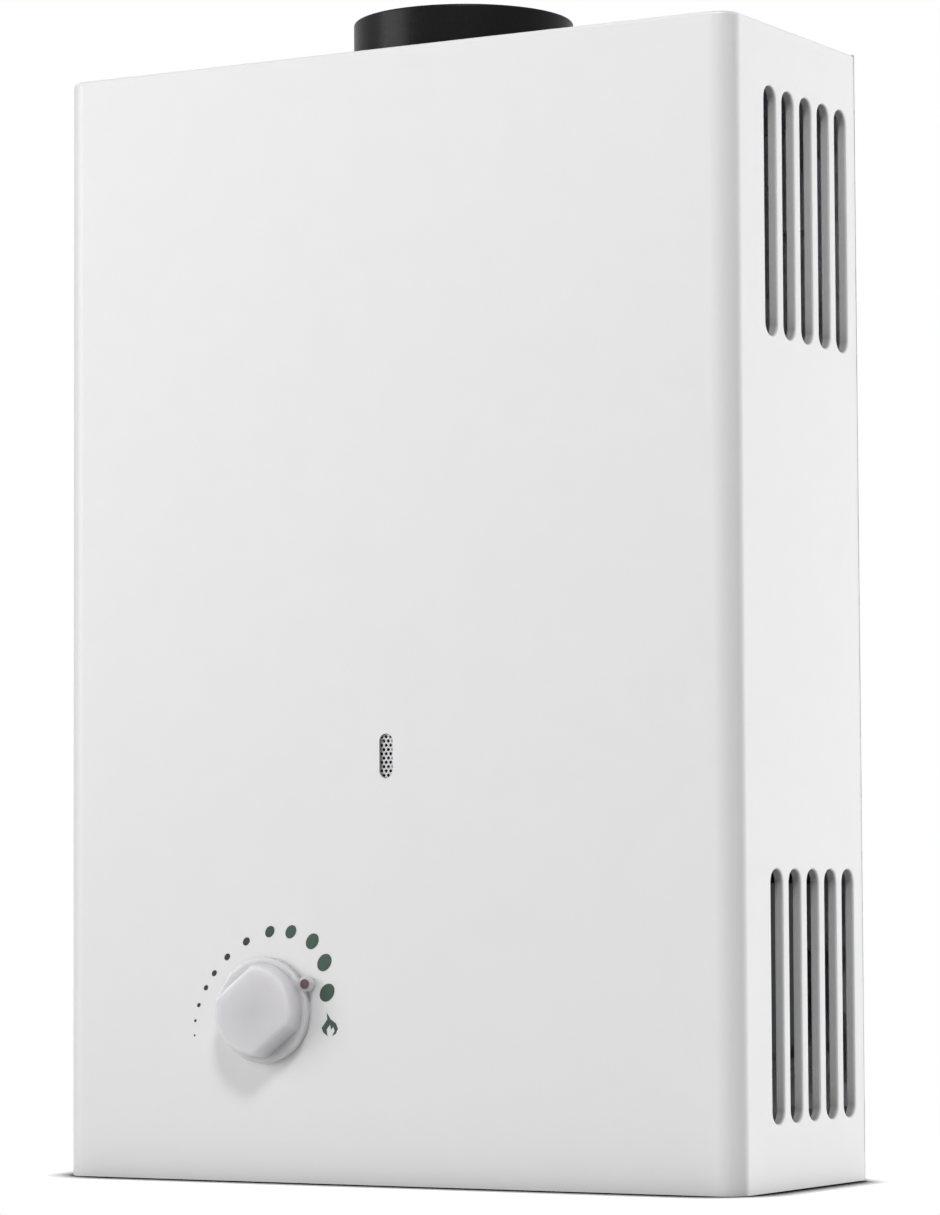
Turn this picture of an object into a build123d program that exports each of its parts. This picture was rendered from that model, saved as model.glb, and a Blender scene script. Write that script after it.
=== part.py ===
from build123d import *
import math
import os

# Instantaneous gas water heater for a wall. X is to the right, Y goes back to the wall,
# Z is up. The origin is on the wall plane, below the middle of the casing, at its bottom edge.
# All lengths are in millimetres.

# Casing
case_width = 300.0
case_depth = 110.0
case_height = 440.0
case_corner_radius = 9.0
top_bend_radius = 1.6
cover_sheet = 0.8
back_sheet = 0.8
bottom_lip_width = 14.0
bottom_lip_height = 3.0
screw_tab_width = 14.0
screw_tab_depth = 16.0
side_flange_depth = 6.0
side_flange_margin = 14.0
casing_screw_radius = 1.8
casing_screw_head_radius = 3.6
casing_screw_head_height = 1.6
casing_screw_length = 8.0
wall_hole_radius = 3.0
wall_hole_spacing_x = 180.0
wall_hole_spacing_z = 380.0
wall_screw_room = 5.5

# Side vents
vent_count = 5
vent_pitch = 15.6
vent_width = 10.0
vent_length = 95.0
vent_lip_depth = 3.6
vent_centre_y = -45.0
lower_vent_z = 72.5
upper_vent_edge = 71.5

# Flame window and the perforated guard behind it
window_width = 6.0
window_height = 17.3
window_z = 164.5
guard_width = 17.0
guard_height = 26.0
guard_sheet = 0.5
guard_recess = 0.3
guard_foot = 5.0
guard_hole_radius = 0.62
guard_hole_pitch = 2.0
guard_row_pitch = 1.65

# Knob and the printed dial around it
knob_x = -54.5
knob_z = 66.5
knob_gap = 0.8
skirt_radius = 20.5
skirt_height = 3.2
knob_height = 10.6
cap_base_radius = 18.6
cap_top_radius = 17.2
flat_half_width_base = 16.6
flat_half_width_top = 13.8
knob_rest_angle = 27.5
grip_angle = 38.0
pointer_radius = 1.9
pointer_offset = 22.4
pointer_depth = 1.2
pointer_lobe_radius = 2.9
dial_offset_x = -2.5
dial_offset_z = -1.5
dial_tilt = 50.0
dial_print = 0.12
dial_angles = [195.6, 185.4, 173.6, 158.5, 143.9, 125.2, 103.5, 82.7, 66.7, 50.2, 34.7, 15.7]
dial_radii = [32.1, 30.7, 29.1, 27.5, 26.8, 27.1, 29.0, 32.3, 34.8, 36.8, 35.3, 31.4]
dial_dot_sizes = [0.8, 1.1, 1.6, 2.0, 2.3, 2.6, 3.1, 4.3, 5.0, 5.9, 6.5, 6.7]
dial_dot_stretch = 1.14
flame_angle = -6.8
flame_radius = 31.6
flame_width = 7.3
flame_height = 8.9

# Flue
flue_y = -47.0
collar_radius = 44.0
collar_sheet = 0.8
collar_height = 19.3
collar_flange_radius = 54.0
collar_flange_sheet = 1.0
collar_rim_radius = 0.9
collar_depth = 15.0
notch_gap = 2.0
neck_gap = 0.2
hood_sheet = 0.8
hood_neck_length = 24.0
hood_lap = 11.0
hood_skirt_height = 12.0
relief_side_space = 26.0
relief_height = 6.0

# Heat exchanger
core_y = flue_y
chamber_side_space = 64.0
chamber_half_y = 35.5
chamber_corner = 14.0
chamber_sheet = 0.8
chamber_bottom = 150.0
chamber_top = 334.0
chamber_flange = 6.0
chamber_window_side = 16.0
chamber_window_top = 178.0
fin_pitch = 4.6
fin_side_space = 15.4
fin_sheet = 0.5
fin_height = 42.0
fin_below_top = 2.0
fin_gap = 0.1
tube_radius = 8.0
tube_bore = 7.2
tube_pitch = 22.0
tube_gap = 0.05
tube_overhang = 2.0
reducer_length = 8.0
pipe_radius = 5.0
pipe_bore = 4.3
coil_gap = 0.3
coil_start = 190.0
coil_turn = 26.0
chamber_bracket_width = 80.0
chamber_bracket_height = 13.0
chamber_bracket_foot = 12.0
chamber_bracket_sheet = 1.2
lower_bracket_z = 157.0
upper_bracket_z = 292.0
hood_screw_radius = 1.5
hood_screw_head_radius = 3.0
hood_screw_head_height = 1.4
hood_screw_length = 5.0

# Burner
burner_top = 156.0
blade_pitch = 21.8
blade_side_space = 18.4
blade_head_width = 13.0
blade_head_height = 14.0
blade_neck_width = 5.0
blade_neck_bore = 3.0
venturi_radius = 8.0
venturi_bore = 6.8
venturi_z = 106.0
flame_slot_width = 1.4
flame_slot_length = 9.0
flame_slot_pitch = 5.2
flame_slot_count = 12
blade_wall = 1.6
frame_sheet = 1.0
frame_bottom = 116.0
frame_top = 160.0
frame_gap = 0.3
manifold_depth = 14.0
manifold_height = 14.0
manifold_overhang = 8.6
manifold_bore = 4.5
manifold_end_wall = 4.0
jet_radius = 4.0
jet_shank_radius = 2.5
jet_shank_length = 4.0
jet_body_length = 5.0
jet_tip_length = 2.0
jet_orifice = 0.5
jet_to_mouth = 4.0
strap_width = 12.0
strap_sheet = 1.0
strap_rise = 14.0
gasket_thickness = 1.0

# Valve block, gas side
valve_y = -52.0
gas_barrel_radius = 17.0
gas_barrel_left = 34.0
gas_barrel_right = 30.0
gas_bore = 12.0
gas_end_wall = 4.0
seat_offset = 7.5
seat_wall = 3.0
seat_bore = 8.0
regulator_half_width = 18.0
regulator_right = 24.0
regulator_half_height = 15.0
regulator_front = -92.0
regulator_depth = 22.0
plug_bore = 10.0
running_gap = 0.05
plug_end_gap = 1.0
port_radius = 4.0
chimney_half_width = 9.0
chimney_depth = 29.0
chimney_front_gap = 1.0
bonnet_flange_radius = 13.0
bonnet_flange = 3.0
bonnet_neck_radius = 6.0
bonnet_neck = 8.0
spindle_radius = 3.0
spindle_in_knob = 7.5
spindle_in_plug = 8.0
spindle_hole_radius = 6.5
gas_inlet_offset = 18.0
inlet_boss_radius = 12.0
inlet_bore = 7.0
foot_offset = 16.0
foot_half_width = 10.0
foot_half_height = 9.0
foot_length = 3.0
disc_radius = 10.5
disc_thickness = 3.6
seat_gap = 0.1
valve_spring_radius = 6.0
valve_spring_wire = 0.6
valve_spring_turns = 6.0
spring_end_gap = 0.1

# Valve block, water side
yoke_length = 11.0
yoke_post_radius = 3.2
yoke_post_offset = 13.5
valve_flange_radius = 30.0
valve_flange = 3.0
gland_hole_radius = 8.0
gland_neck_radius = 7.0
gland_gap = 0.3
water_cover_depth = 12.0
water_cover_wall = 4.0
diaphragm_thickness = 1.4
diaphragm_chamber = 23.0
water_body_depth = 12.0
water_body_wall = 4.0
water_barrel_radius = 15.0
water_barrel_length = 35.0
water_bore = 9.0
water_end_wall = 4.0
cold_inlet_x = 34.0
plate_radius = 20.0
plate_thickness = 2.5
plate_gap = 0.1
rod_radius = 3.0
rod_collar_radius = 5.0
rod_collar_width = 2.0
rod_collar_gap = 1.0
linkage_travel = 3.5
valve_screw_radius = 2.0
valve_screw_circle = 26.5
valve_screw_count = 6
valve_screw_head_radius = 3.2
valve_screw_head = 2.6
valve_screw_gap = 0.1
valve_screw_turn = 0.0
drain_x = 10.0
drain_boss_radius = 6.5
drain_boss_bottom = 28.0
drain_screw_radius = 4.0
drain_screw_depth = 8.0
drain_head_radius = 7.0
drain_head_bottom = 8.0
drain_head_gap = 0.3
drain_wing_half = 2.0
union_across = 16.0
union_length = 9.0
filter_radius = 6.4
filter_wall = 1.0
filter_length = 16.0
filter_slots = 8

# Micro switch
switch_width = 6.5
switch_length = 19.0
switch_height = 10.0
switch_above_axis = 20.5
lever_pivot_above_axis = 18.5
lever_width = 5.0
lever_sheet = 0.8
lever_gap = 0.3
lever_tip_above_axis = 3.7
lever_hub_radius = 1.6
lever_pin_radius = 0.8
ear_thickness = 2.0
ear_gap = 0.3
ear_half_width = 2.6

# Solenoid safety valve
solenoid_boss_radius = 12.5
solenoid_boss_length = 5.0
solenoid_radius = 12.0
solenoid_length = 24.0
solenoid_bore = 8.2
solenoid_end_wall = 2.0
plunger_radius = 7.9
plunger_length = 20.0
seal_radius = 8.5
seal_bore = 9.0
seal_thickness = 2.5
solenoid_travel = 3.0
solenoid_spring_radius = 4.0
solenoid_spring_wire = 0.3
solenoid_spring_turns = 3.5

# Connections at the bottom
hot_outlet_gap = 14.0
hot_outlet_y = -50.0
thread_radius = 10.48
thread_bottom = 2.0
thread_relief_gap = 0.2
thread_relief_radius = 10.0
connection_z = 14.0
connection_sheet = 1.5
connection_hole_gap = 0.12
connection_left_margin = 19.0
connection_right_margin = 20.0
connection_front = -80.0
connection_upstand = 20.0
hex_across = 24.0
hex_height = 7.5
nipple_radius = 9.0
nipple_bore = 6.5
socket_depth = 4.0
inlet_boss_bottom = 36.0

# Battery compartment
battery_radius = 16.6
battery_length = 59.0
battery_tip_radius = 4.5
battery_tip = 1.5
battery_gap = 0.6
battery_wall = 1.5
battery_side_space = 49.2
battery_front = -95.0
battery_case_bottom = 48.0
battery_floor_gap = 0.4
contact_sheet = 0.4
contact_rise = 1.6
rib_width = 3.0
rib_inset = 4.0
rib_height = 26.0
door_thickness = 3.0
door_gap = 0.4
door_hinge_radius = 2.4
door_pin_radius = 1.0
door_hinge_drop = 1.6
door_knuckle_length = 12.0
door_knuckle_gap = 0.4

# Ignition
igniter_side_gap = 3.2
igniter_width = 36.0
igniter_bottom = 130.0
igniter_top = 200.0
igniter_depth = 29.0
igniter_rounding = 2.0
ignition_x = -20.0
ignition_gap_y = 5.0
sensor_x = 24.0
sensor_gap_y = 11.0
ceramic_radius = 3.0
ceramic_bottom = 132.0
ceramic_top = 156.0
needle_radius = 0.8
needle_bend = 4.0
needle_rise = 7.5
electrode_tab_z = 142.0
electrode_tab_sheet = 1.2
electrode_hole_gap = 0.05
ignition_lead_radius = 1.5
lead_bend = 8.0
lead_sweep = 60.0
lead_drop = 13.0
lead_sag = 1.0
lead_inset = 9.0
control_lead_radius = 0.9
thermostat_radius = 7.5
thermostat_height = 9.0
thermostat_z = 280.0
clip_sheet = 0.8
clip_height = 8.0
clip_gap = 0.1

# Places worked out from the sizes above
half_width = case_width / 2
front = -case_depth
plate_front = -back_sheet
inner_front = front + cover_sheet
inner_side = half_width - cover_sheet
inner_top = case_height - cover_sheet
lip_top = bottom_lip_height + cover_sheet
upper_vent_z = case_height - upper_vent_edge
chamber_half_x = half_width - chamber_side_space
chamber_inner_x = chamber_half_x - chamber_sheet
chamber_inner_y = chamber_half_y - chamber_sheet
chamber_inner_corner = chamber_corner - chamber_sheet
chamber_back = core_y + chamber_half_y
chamber_window_half = chamber_half_x - chamber_window_side
relief_length = 2 * (chamber_half_x - relief_side_space)
fin_count = 2 * int((chamber_inner_x - fin_side_space) / fin_pitch) + 1
frame_half_x = chamber_inner_x - frame_gap
frame_half_y = chamber_inner_y - frame_gap
frame_front = core_y - frame_half_y
blade_count = 2 * int((frame_half_x - blade_side_space) / blade_pitch) + 1
last_blade_x = blade_pitch * (blade_count - 1) / 2
manifold_half = last_blade_x + manifold_overhang
blade_half_length = frame_half_y - frame_sheet
blade_front = core_y - blade_half_length
jet_tip_y = blade_front - jet_to_mouth
manifold_back = jet_tip_y - jet_tip_length - jet_body_length
manifold_front = manifold_back - manifold_depth
manifold_y = (manifold_front + manifold_back) / 2
manifold_bottom = venturi_z - manifold_height / 2
manifold_top = venturi_z + manifold_height / 2
tube_z = chamber_top - fin_below_top - fin_height / 2
first_tube_y = core_y - tube_pitch
last_tube_y = core_y + tube_pitch
tube_end_x = chamber_half_x + tube_overhang + tube_radius
hot_outlet_x = -tube_end_x - reducer_length - hot_outlet_gap
connection_left = hot_outlet_x - connection_left_margin
connection_right = cold_inlet_x + connection_right_margin
coil_offset = coil_gap + pipe_radius
coil_x = chamber_half_x + coil_offset
coil_front = core_y - chamber_half_y - coil_offset
coil_back = core_y + chamber_half_y + coil_offset
coil_bend = chamber_corner + coil_offset
gas_left = knob_x - gas_barrel_left
gas_right = knob_x + gas_barrel_right
flange_left = gas_right + yoke_length
flange_right = flange_left + valve_flange
water_cover_right = flange_right + water_cover_depth
water_body_left = water_cover_right + diaphragm_thickness
water_disc_right = water_body_left + water_body_depth
water_right = water_disc_right + water_barrel_length
seat_right = gas_left + gas_barrel_left + seat_offset
seat_left = seat_right - seat_wall
disc_right = seat_left - seat_gap
disc_left = disc_right - disc_thickness
gas_inlet_x = knob_x - gas_inlet_offset
foot_x = knob_x + foot_offset
foot_back = valve_y + gas_barrel_radius + foot_length
regulator_back = regulator_front + regulator_depth
port_y = regulator_front + regulator_depth / 2
chimney_top = manifold_bottom - gasket_thickness
chimney_front = manifold_front + chimney_front_gap
switch_z = knob_z + switch_above_axis
lever_pivot_z = knob_z + lever_pivot_above_axis
rod_collar_right = flange_left - rod_collar_gap
rod_collar_left = rod_collar_right - rod_collar_width
lever_right = rod_collar_left - lever_gap
lever_x = lever_right - lever_sheet / 2
hex_bottom = connection_z + connection_sheet
hex_top = hex_bottom + hex_height
cell_pitch = 2 * battery_radius + battery_gap
battery_left = inner_side - battery_side_space
battery_right = battery_left + 2 * (battery_radius + battery_gap + battery_wall)
battery_back = battery_front + 2 * battery_wall + battery_gap + 2 * cell_pitch
battery_x = (battery_left + battery_right) / 2
battery_top = battery_case_bottom + battery_length + battery_tip + 3 * contact_rise + battery_wall
door_top = battery_case_bottom - door_gap
door_bottom = door_top - door_thickness
door_hinge_x = battery_right + door_hinge_radius
door_hinge_z = door_bottom + door_hinge_drop
igniter_front = plate_front - igniter_depth
igniter_left = -inner_side + igniter_side_gap
igniter_right = igniter_left + igniter_width


def block(x, y, z):
    """A box given by its low and high X, Y and Z."""
    centre = [(pair[0] + pair[1]) / 2 for pair in (x, y, z)]
    size = [pair[1] - pair[0] for pair in (x, y, z)]
    return Pos(*centre) * Box(*size)


def rod(axis, radius, centre, span):
    """A cylinder along an axis, given by its two other coordinates and its two ends."""
    middle = (span[0] + span[1]) / 2
    length = span[1] - span[0]
    if axis == "X":
        return Pos(middle, centre[0], centre[1]) * Rot(0, 90, 0) * Cylinder(radius, length)
    if axis == "Y":
        return Pos(centre[0], middle, centre[1]) * Rot(90, 0, 0) * Cylinder(radius, length)
    return Pos(centre[0], centre[1], middle) * Cylinder(radius, length)


def ring(axis, outer, inner, centre, span):
    """A plain tube along an axis."""
    past = (span[0] - 1, span[1] + 1)
    return rod(axis, outer, centre, span) - rod(axis, inner, centre, past)


def slot_bar(axis, width, length, centre, span):
    """An upright bar with round ends, along X or Y, as wide as a slot."""
    half = length / 2 - width / 2
    side, z = centre
    ends = [rod(axis, width / 2, (side, z + turn * half), span) for turn in (-1, 1)]
    across = (side - width / 2, side + width / 2)
    if axis == "X":
        middle = block(span, across, (z - half, z + half))
    else:
        middle = block(across, span, (z - half, z + half))
    return middle + ends


def rounded_column(half_x, half_y, corner, z):
    """An upright column about the burner's middle, with round vertical edges."""
    outline = RectangleRounded(2 * half_x, 2 * half_y, corner)
    return extrude(Pos(0, core_y, z[0]) * outline, z[1] - z[0])


def tube_along(points, radii, radius, bore=0.0):
    """A pipe or a lead along straight runs joined by tangent arcs."""
    path = FilletPolyline(*points, radius=radii)
    start = Plane(origin=path @ 0, z_dir=path % 0)
    section = Circle(radius)
    if bore > 0:
        section = section - Circle(bore)
    return sweep(start * section, path=path)


def spring_along(axis, radius, wire, turns, centre, span):
    """A helical spring, one unbroken coil of round wire."""
    low = span[0] + wire
    high = span[1] - wire
    helix = Helix(pitch=(high - low) / turns, height=high - low, radius=radius)
    coil = sweep(Plane(origin=helix @ 0, z_dir=helix % 0) * Circle(wire), path=helix)
    if axis == "X":
        return Pos(low, centre[0], centre[1]) * Rot(0, 90, 0) * coil
    return Pos(centre[0], low, centre[1]) * Rot(-90, 0, 0) * coil


def hat_bracket(x, y, z, foot, sheet):
    """A folded sheet hat: its crown is at the low Y, its two feet are at the high Y."""
    crown = block(x, (y[0], y[0] + sheet), z)
    legs = [
        block((x[0], x[0] + sheet), y, z),
        block((x[1] - sheet, x[1]), y, z),
    ]
    feet = [
        block((x[0] - foot, x[0] + sheet), (y[1] - sheet, y[1]), z),
        block((x[1] - sheet, x[1] + foot), (y[1] - sheet, y[1]), z),
    ]
    return crown + legs + feet


def valve_circle(x, radius, circle, count, turn):
    """Rods along X set on a circle about the valve's axis, at the given turn."""
    rods = []
    for index in range(count):
        angle = math.radians(turn + 360 * index / count)
        place = (valve_y + circle * math.cos(angle), knob_z + circle * math.sin(angle))
        rods.append(rod("X", radius, place, x))
    return rods


def front_cover():
    """The painted sheet casing: front, two sides, top and a return lip at the bottom."""
    outer = block((-half_width, half_width), (front, plate_front), (0, case_height))
    outer = fillet(outer.edges().filter_by(Axis.Z).group_by(Axis.Y)[0], case_corner_radius)
    top_edges = outer.faces().sort_by(Axis.Z)[-1].edges().sort_by(Axis.Y)[:-1]
    outer = fillet(top_edges, top_bend_radius)
    inner = block(
        (-inner_side, inner_side), (inner_front, plate_front + 1), (-1, inner_top)
    )
    inner = fillet(
        inner.edges().filter_by(Axis.Z).group_by(Axis.Y)[0], case_corner_radius - cover_sheet
    )
    inner_edges = inner.faces().sort_by(Axis.Z)[-1].edges().sort_by(Axis.Y)[:-1]
    inner = fillet(inner_edges, top_bend_radius - cover_sheet)
    cover = outer - inner

    lip = block((-half_width, half_width), (front, plate_front), (bottom_lip_height, lip_top))
    lip = fillet(lip.edges().filter_by(Axis.Z).group_by(Axis.Y)[0], case_corner_radius)
    lip_hole = half_width - bottom_lip_width
    lip = lip - block((-lip_hole, lip_hole), (front + bottom_lip_width, 1), (0, case_height))
    cover = cover + lip

    lips = []
    slots = []
    for side in (-1, 1):
        for z in (lower_vent_z, upper_vent_z):
            for index in range(vent_count):
                y = vent_centre_y + (index - (vent_count - 1) / 2) * vent_pitch
                reach = sorted((side * (half_width - vent_lip_depth), side * inner_side))
                through = sorted((side * (half_width - 2 * vent_lip_depth), side * (half_width + 1)))
                wide = vent_width + 2 * cover_sheet
                tall = vent_length + 2 * cover_sheet
                lips.append(slot_bar("X", wide, tall, (y, z), reach))
                slots.append(slot_bar("X", vent_width, vent_length, (y, z), through))
    cover = cover + lips - slots

    notch = collar_radius + notch_gap
    cover = cover - rod("Z", notch, (0, flue_y), (inner_top - 1, case_height + 1))
    cover = cover - block((-notch, notch), (flue_y, 1), (inner_top - 1, case_height + 1))
    cover = cover - rod("Y", spindle_hole_radius, (knob_x, knob_z), (front - 1, inner_front + 1))
    window_span = (front - 1, inner_front + 1)
    cover = cover - slot_bar("Y", window_width, window_height, (0, window_z), window_span)
    return cover - casing_screw_rods(casing_screw_radius + running_gap)


def casing_screw_places():
    """The X of the four casing screws, and their common Y."""
    x = inner_side - screw_tab_width / 2
    return (-x, x), plate_front - screw_tab_depth / 2


def casing_screw_rods(radius):
    """Rods through the lip below and the top above, where the casing screws go."""
    xs, y = casing_screw_places()
    rods = []
    for x in xs:
        low = (bottom_lip_height - 1, lip_top + casing_screw_length)
        high = (inner_top - casing_screw_length, case_height + 1)
        rods += [rod("Z", radius, (x, y), low), rod("Z", radius, (x, y), high)]
    return rods


def cover_screws():
    """Four pan head screws that hold the casing to the tabs of the back plate."""
    xs, y = casing_screw_places()
    screws = []
    for x in xs:
        low_head = (bottom_lip_height - casing_screw_head_height, bottom_lip_height)
        high_head = (case_height, case_height + casing_screw_head_height)
        low_shank = (bottom_lip_height, lip_top + casing_screw_length)
        high_shank = (inner_top - casing_screw_length, case_height)
        for head, shank in ((low_head, low_shank), (high_head, high_shank)):
            screw = rod("Z", casing_screw_head_radius, (x, y), head)
            screws.append(screw + rod("Z", casing_screw_radius, (x, y), shank))
    return screws


def back_plate():
    """The galvanised back with side flanges, four screw tabs and four wall holes."""
    plate = block((-half_width, half_width), (plate_front, 0), (0, case_height))
    tab_back = plate_front + back_sheet / 2
    for side in (-1, 1):
        flange = sorted((side * inner_side, side * (inner_side - back_sheet)))
        height = (side_flange_margin, case_height - side_flange_margin)
        plate = plate + block(flange, (plate_front - side_flange_depth, tab_back), height)
        tab = sorted((side * (inner_side - back_sheet), side * (inner_side - screw_tab_width)))
        depth = (plate_front - screw_tab_depth, tab_back)
        plate = plate + block(tab, depth, (lip_top, lip_top + back_sheet))
        plate = plate + block(tab, depth, (inner_top - back_sheet, inner_top))
    middle = case_height / 2
    for x in (-wall_hole_spacing_x / 2, wall_hole_spacing_x / 2):
        for z in (middle - wall_hole_spacing_z / 2, middle + wall_hole_spacing_z / 2):
            plate = plate - rod("Y", wall_hole_radius, (x, z), (plate_front - 1, 1))
    return plate - casing_screw_rods(casing_screw_radius + running_gap)


def flue_collar():
    """The black enamelled collar for the flue, with a flat flange and a rolled rim."""
    bore = collar_radius - collar_sheet
    top = case_height + collar_height - collar_rim_radius
    collar = rod("Z", collar_radius, (0, flue_y), (case_height - collar_depth, top))
    flange_top = case_height + collar_flange_sheet
    half = collar_flange_radius
    flange_back = plate_front - neck_gap
    flange = rod("Z", half, (0, flue_y), (case_height, flange_top))
    flange = flange + block((-half, half), (flue_y, flange_back), (case_height, flange_top))
    flange = flange - block((-half, half), (flange_back, half), (case_height, flange_top))
    collar = collar + flange
    collar = collar - rod("Z", bore, (0, flue_y), (0, 2 * case_height))
    rim = Pos(0, flue_y, top) * Torus(collar_radius - collar_rim_radius, collar_rim_radius)
    return collar + rim


def hood_outline(half_x, half_y, corner, radius, top):
    """The solid inside or outside of the hood: skirt, tapering body and round neck."""
    skirt_top = chamber_top + hood_sheet + hood_skirt_height
    neck_bottom = top - hood_neck_length
    skirt = rounded_column(half_x, half_y, corner, (chamber_top, skirt_top))
    base = Pos(0, core_y, skirt_top) * RectangleRounded(2 * half_x, 2 * half_y, corner)
    mouth = Pos(0, flue_y, neck_bottom) * Circle(radius)
    neck = rod("Z", radius, (0, flue_y), (neck_bottom, top))
    return skirt + loft([base, mouth]) + neck


def draft_hood():
    """The hood that gathers the flue gas above the heat exchanger."""
    neck = collar_radius - collar_sheet - neck_gap
    top = case_height - collar_depth + hood_lap
    outer = hood_outline(chamber_half_x, chamber_half_y, chamber_corner, neck, top)
    flange = rounded_column(
        chamber_half_x + chamber_flange,
        chamber_half_y + chamber_flange,
        chamber_corner + chamber_flange,
        (chamber_top, chamber_top + hood_sheet),
    )
    inner = hood_outline(
        chamber_inner_x, chamber_inner_y, chamber_inner_corner, neck - hood_sheet, top
    )
    through = rod("Z", neck - hood_sheet, (0, flue_y), (top - 1, top + 1))
    hood = outer + flange - inner - through
    relief_low = chamber_top + hood_skirt_height / 2 - relief_height / 2 + hood_sheet
    relief = block(
        (-relief_length / 2, relief_length / 2),
        (core_y - 2 * chamber_half_y, core_y + 2 * chamber_half_y),
        (relief_low, relief_low + relief_height),
    )
    return hood - relief - hood_screw_rods(hood_screw_radius + running_gap, -1, 3)


def hood_screw_rods(radius, below, above):
    """Rods through the two flanges between hood and chamber."""
    places = []
    y_out = chamber_half_y + chamber_flange / 2
    for x in (-chamber_half_x / 2, 0, chamber_half_x / 2):
        places += [(x, core_y - y_out), (x, core_y + y_out)]
    return [rod("Z", radius, place, (chamber_top + below, chamber_top + above)) for place in places]


def hood_screws():
    """Six short screws that join the hood to the chamber."""
    top = hood_sheet
    shanks = hood_screw_rods(hood_screw_radius, top - hood_screw_length, top)
    heads = hood_screw_rods(hood_screw_head_radius, top, top + hood_screw_head_height)
    return [head + shank for head, shank in zip(heads, shanks)]


def combustion_chamber():
    """The copper shell around the flames and the fins, with a flange at its top."""
    shell = rounded_column(
        chamber_half_x, chamber_half_y, chamber_corner, (chamber_bottom, chamber_top)
    )
    shell = shell + rounded_column(
        chamber_half_x + chamber_flange,
        chamber_half_y + chamber_flange,
        chamber_corner + chamber_flange,
        (chamber_top - chamber_sheet, chamber_top),
    )
    shell = shell - rounded_column(
        chamber_inner_x,
        chamber_inner_y,
        chamber_inner_corner,
        (chamber_bottom - 1, chamber_top + 1),
    )
    opening = (core_y - chamber_half_y - 1, core_y - chamber_inner_y + 1)
    shell = shell - block(
        (-chamber_window_half, chamber_window_half),
        opening,
        (chamber_bottom - 1, chamber_window_top),
    )
    through = (-chamber_half_x - 1, chamber_half_x + 1)
    for y in (first_tube_y, core_y, last_tube_y):
        shell = shell - rod("X", tube_radius + tube_gap, (y, tube_z), through)
    below = -chamber_sheet - 1
    return shell - hood_screw_rods(hood_screw_radius + running_gap, below, 1)


def chamber_brackets():
    """Two folded brackets that carry the chamber on the back plate."""
    half = chamber_bracket_width / 2
    brackets = []
    for z in (lower_bracket_z, upper_bracket_z):
        height = (z, z + chamber_bracket_height)
        brackets.append(
            hat_bracket(
                (-half, half),
                (chamber_back, plate_front),
                height,
                chamber_bracket_foot,
                chamber_bracket_sheet,
            )
        )
    return brackets


def exchanger_fins():
    """A block of thin copper fins, pierced by the tubes."""
    half_y = chamber_inner_y - fin_gap
    low = tube_z - fin_height / 2
    fins = []
    for index in range(fin_count):
        x = (index - (fin_count - 1) / 2) * fin_pitch
        span = (x - fin_sheet / 2, x + fin_sheet / 2)
        fin = block(span, (core_y - half_y, core_y + half_y), (low, low + fin_height))
        for y in (first_tube_y, core_y, last_tube_y):
            fin = fin - rod("X", tube_radius + tube_gap, (y, tube_z), (span[0] - 1, span[1] + 1))
        fins.append(fin)
    return fins


def exchanger_tubes():
    """The copper tube that runs three times through the fins, with a reducer at each end."""
    bend = tube_pitch / 2 - tube_gap
    turn_x = chamber_half_x + tube_overhang + tube_pitch / 2
    points = [
        (tube_end_x, first_tube_y, tube_z),
        (-turn_x, first_tube_y, tube_z),
        (-turn_x, core_y, tube_z),
        (turn_x, core_y, tube_z),
        (turn_x, last_tube_y, tube_z),
        (-tube_end_x, last_tube_y, tube_z),
    ]
    tube = tube_along(points, bend, tube_radius, tube_bore)
    for side, y in ((1, first_tube_y), (-1, last_tube_y)):
        place = Pos(side * (tube_end_x + reducer_length / 2), y, tube_z) * Rot(0, 90 * side, 0)
        cone = Cone(tube_radius, pipe_radius, reducer_length)
        hollow = Cone(tube_bore, pipe_bore, reducer_length)
        tube = tube + place * (cone - hollow)
    return tube


def coil_pipe():
    """The cold pipe: up from the valve, twice round the chamber and into the first tube."""
    joint_x = tube_end_x + reducer_length
    far_x = joint_x + 2.4 * pipe_radius
    rise = coil_turn / 4
    points = [
        (water_right, valve_y, knob_z),
        (coil_x, valve_y, knob_z),
        (coil_x, valve_y, coil_start),
        (coil_x, coil_back, coil_start),
        (-coil_x, coil_back, coil_start + rise),
        (-coil_x, coil_front, coil_start + 1.5 * rise),
        (coil_x, coil_front, coil_start + 2.5 * rise),
        (coil_x, coil_back, coil_start + 4 * rise),
        (-coil_x, coil_back, coil_start + 5 * rise),
        (-coil_x, coil_front, coil_start + 5.5 * rise),
        (far_x, coil_front, coil_start + 7 * rise),
        (far_x, coil_front, tube_z - 2 * pipe_radius),
        (far_x, first_tube_y, tube_z),
        (joint_x, first_tube_y, tube_z),
    ]
    low_bend = 2.8 * pipe_radius
    tight_bend = 1.8 * pipe_radius
    radii = [low_bend, low_bend] + [coil_bend] * 7 + [low_bend, tight_bend, tight_bend]
    return tube_along(points, radii, pipe_radius, pipe_bore)


def hot_pipe():
    """The hot pipe from the last tube down to the outlet."""
    joint_x = -tube_end_x - reducer_length
    points = [
        (joint_x, last_tube_y, tube_z),
        (hot_outlet_x, last_tube_y, tube_z),
        (hot_outlet_x, last_tube_y, tube_z - 12 * pipe_radius),
        (hot_outlet_x, hot_outlet_y, tube_z - 19 * pipe_radius),
        (hot_outlet_x, hot_outlet_y, hex_top - socket_depth),
    ]
    return tube_along(points, [1.8 * pipe_radius, 30.0, 30.0], pipe_radius, pipe_bore)


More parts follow.
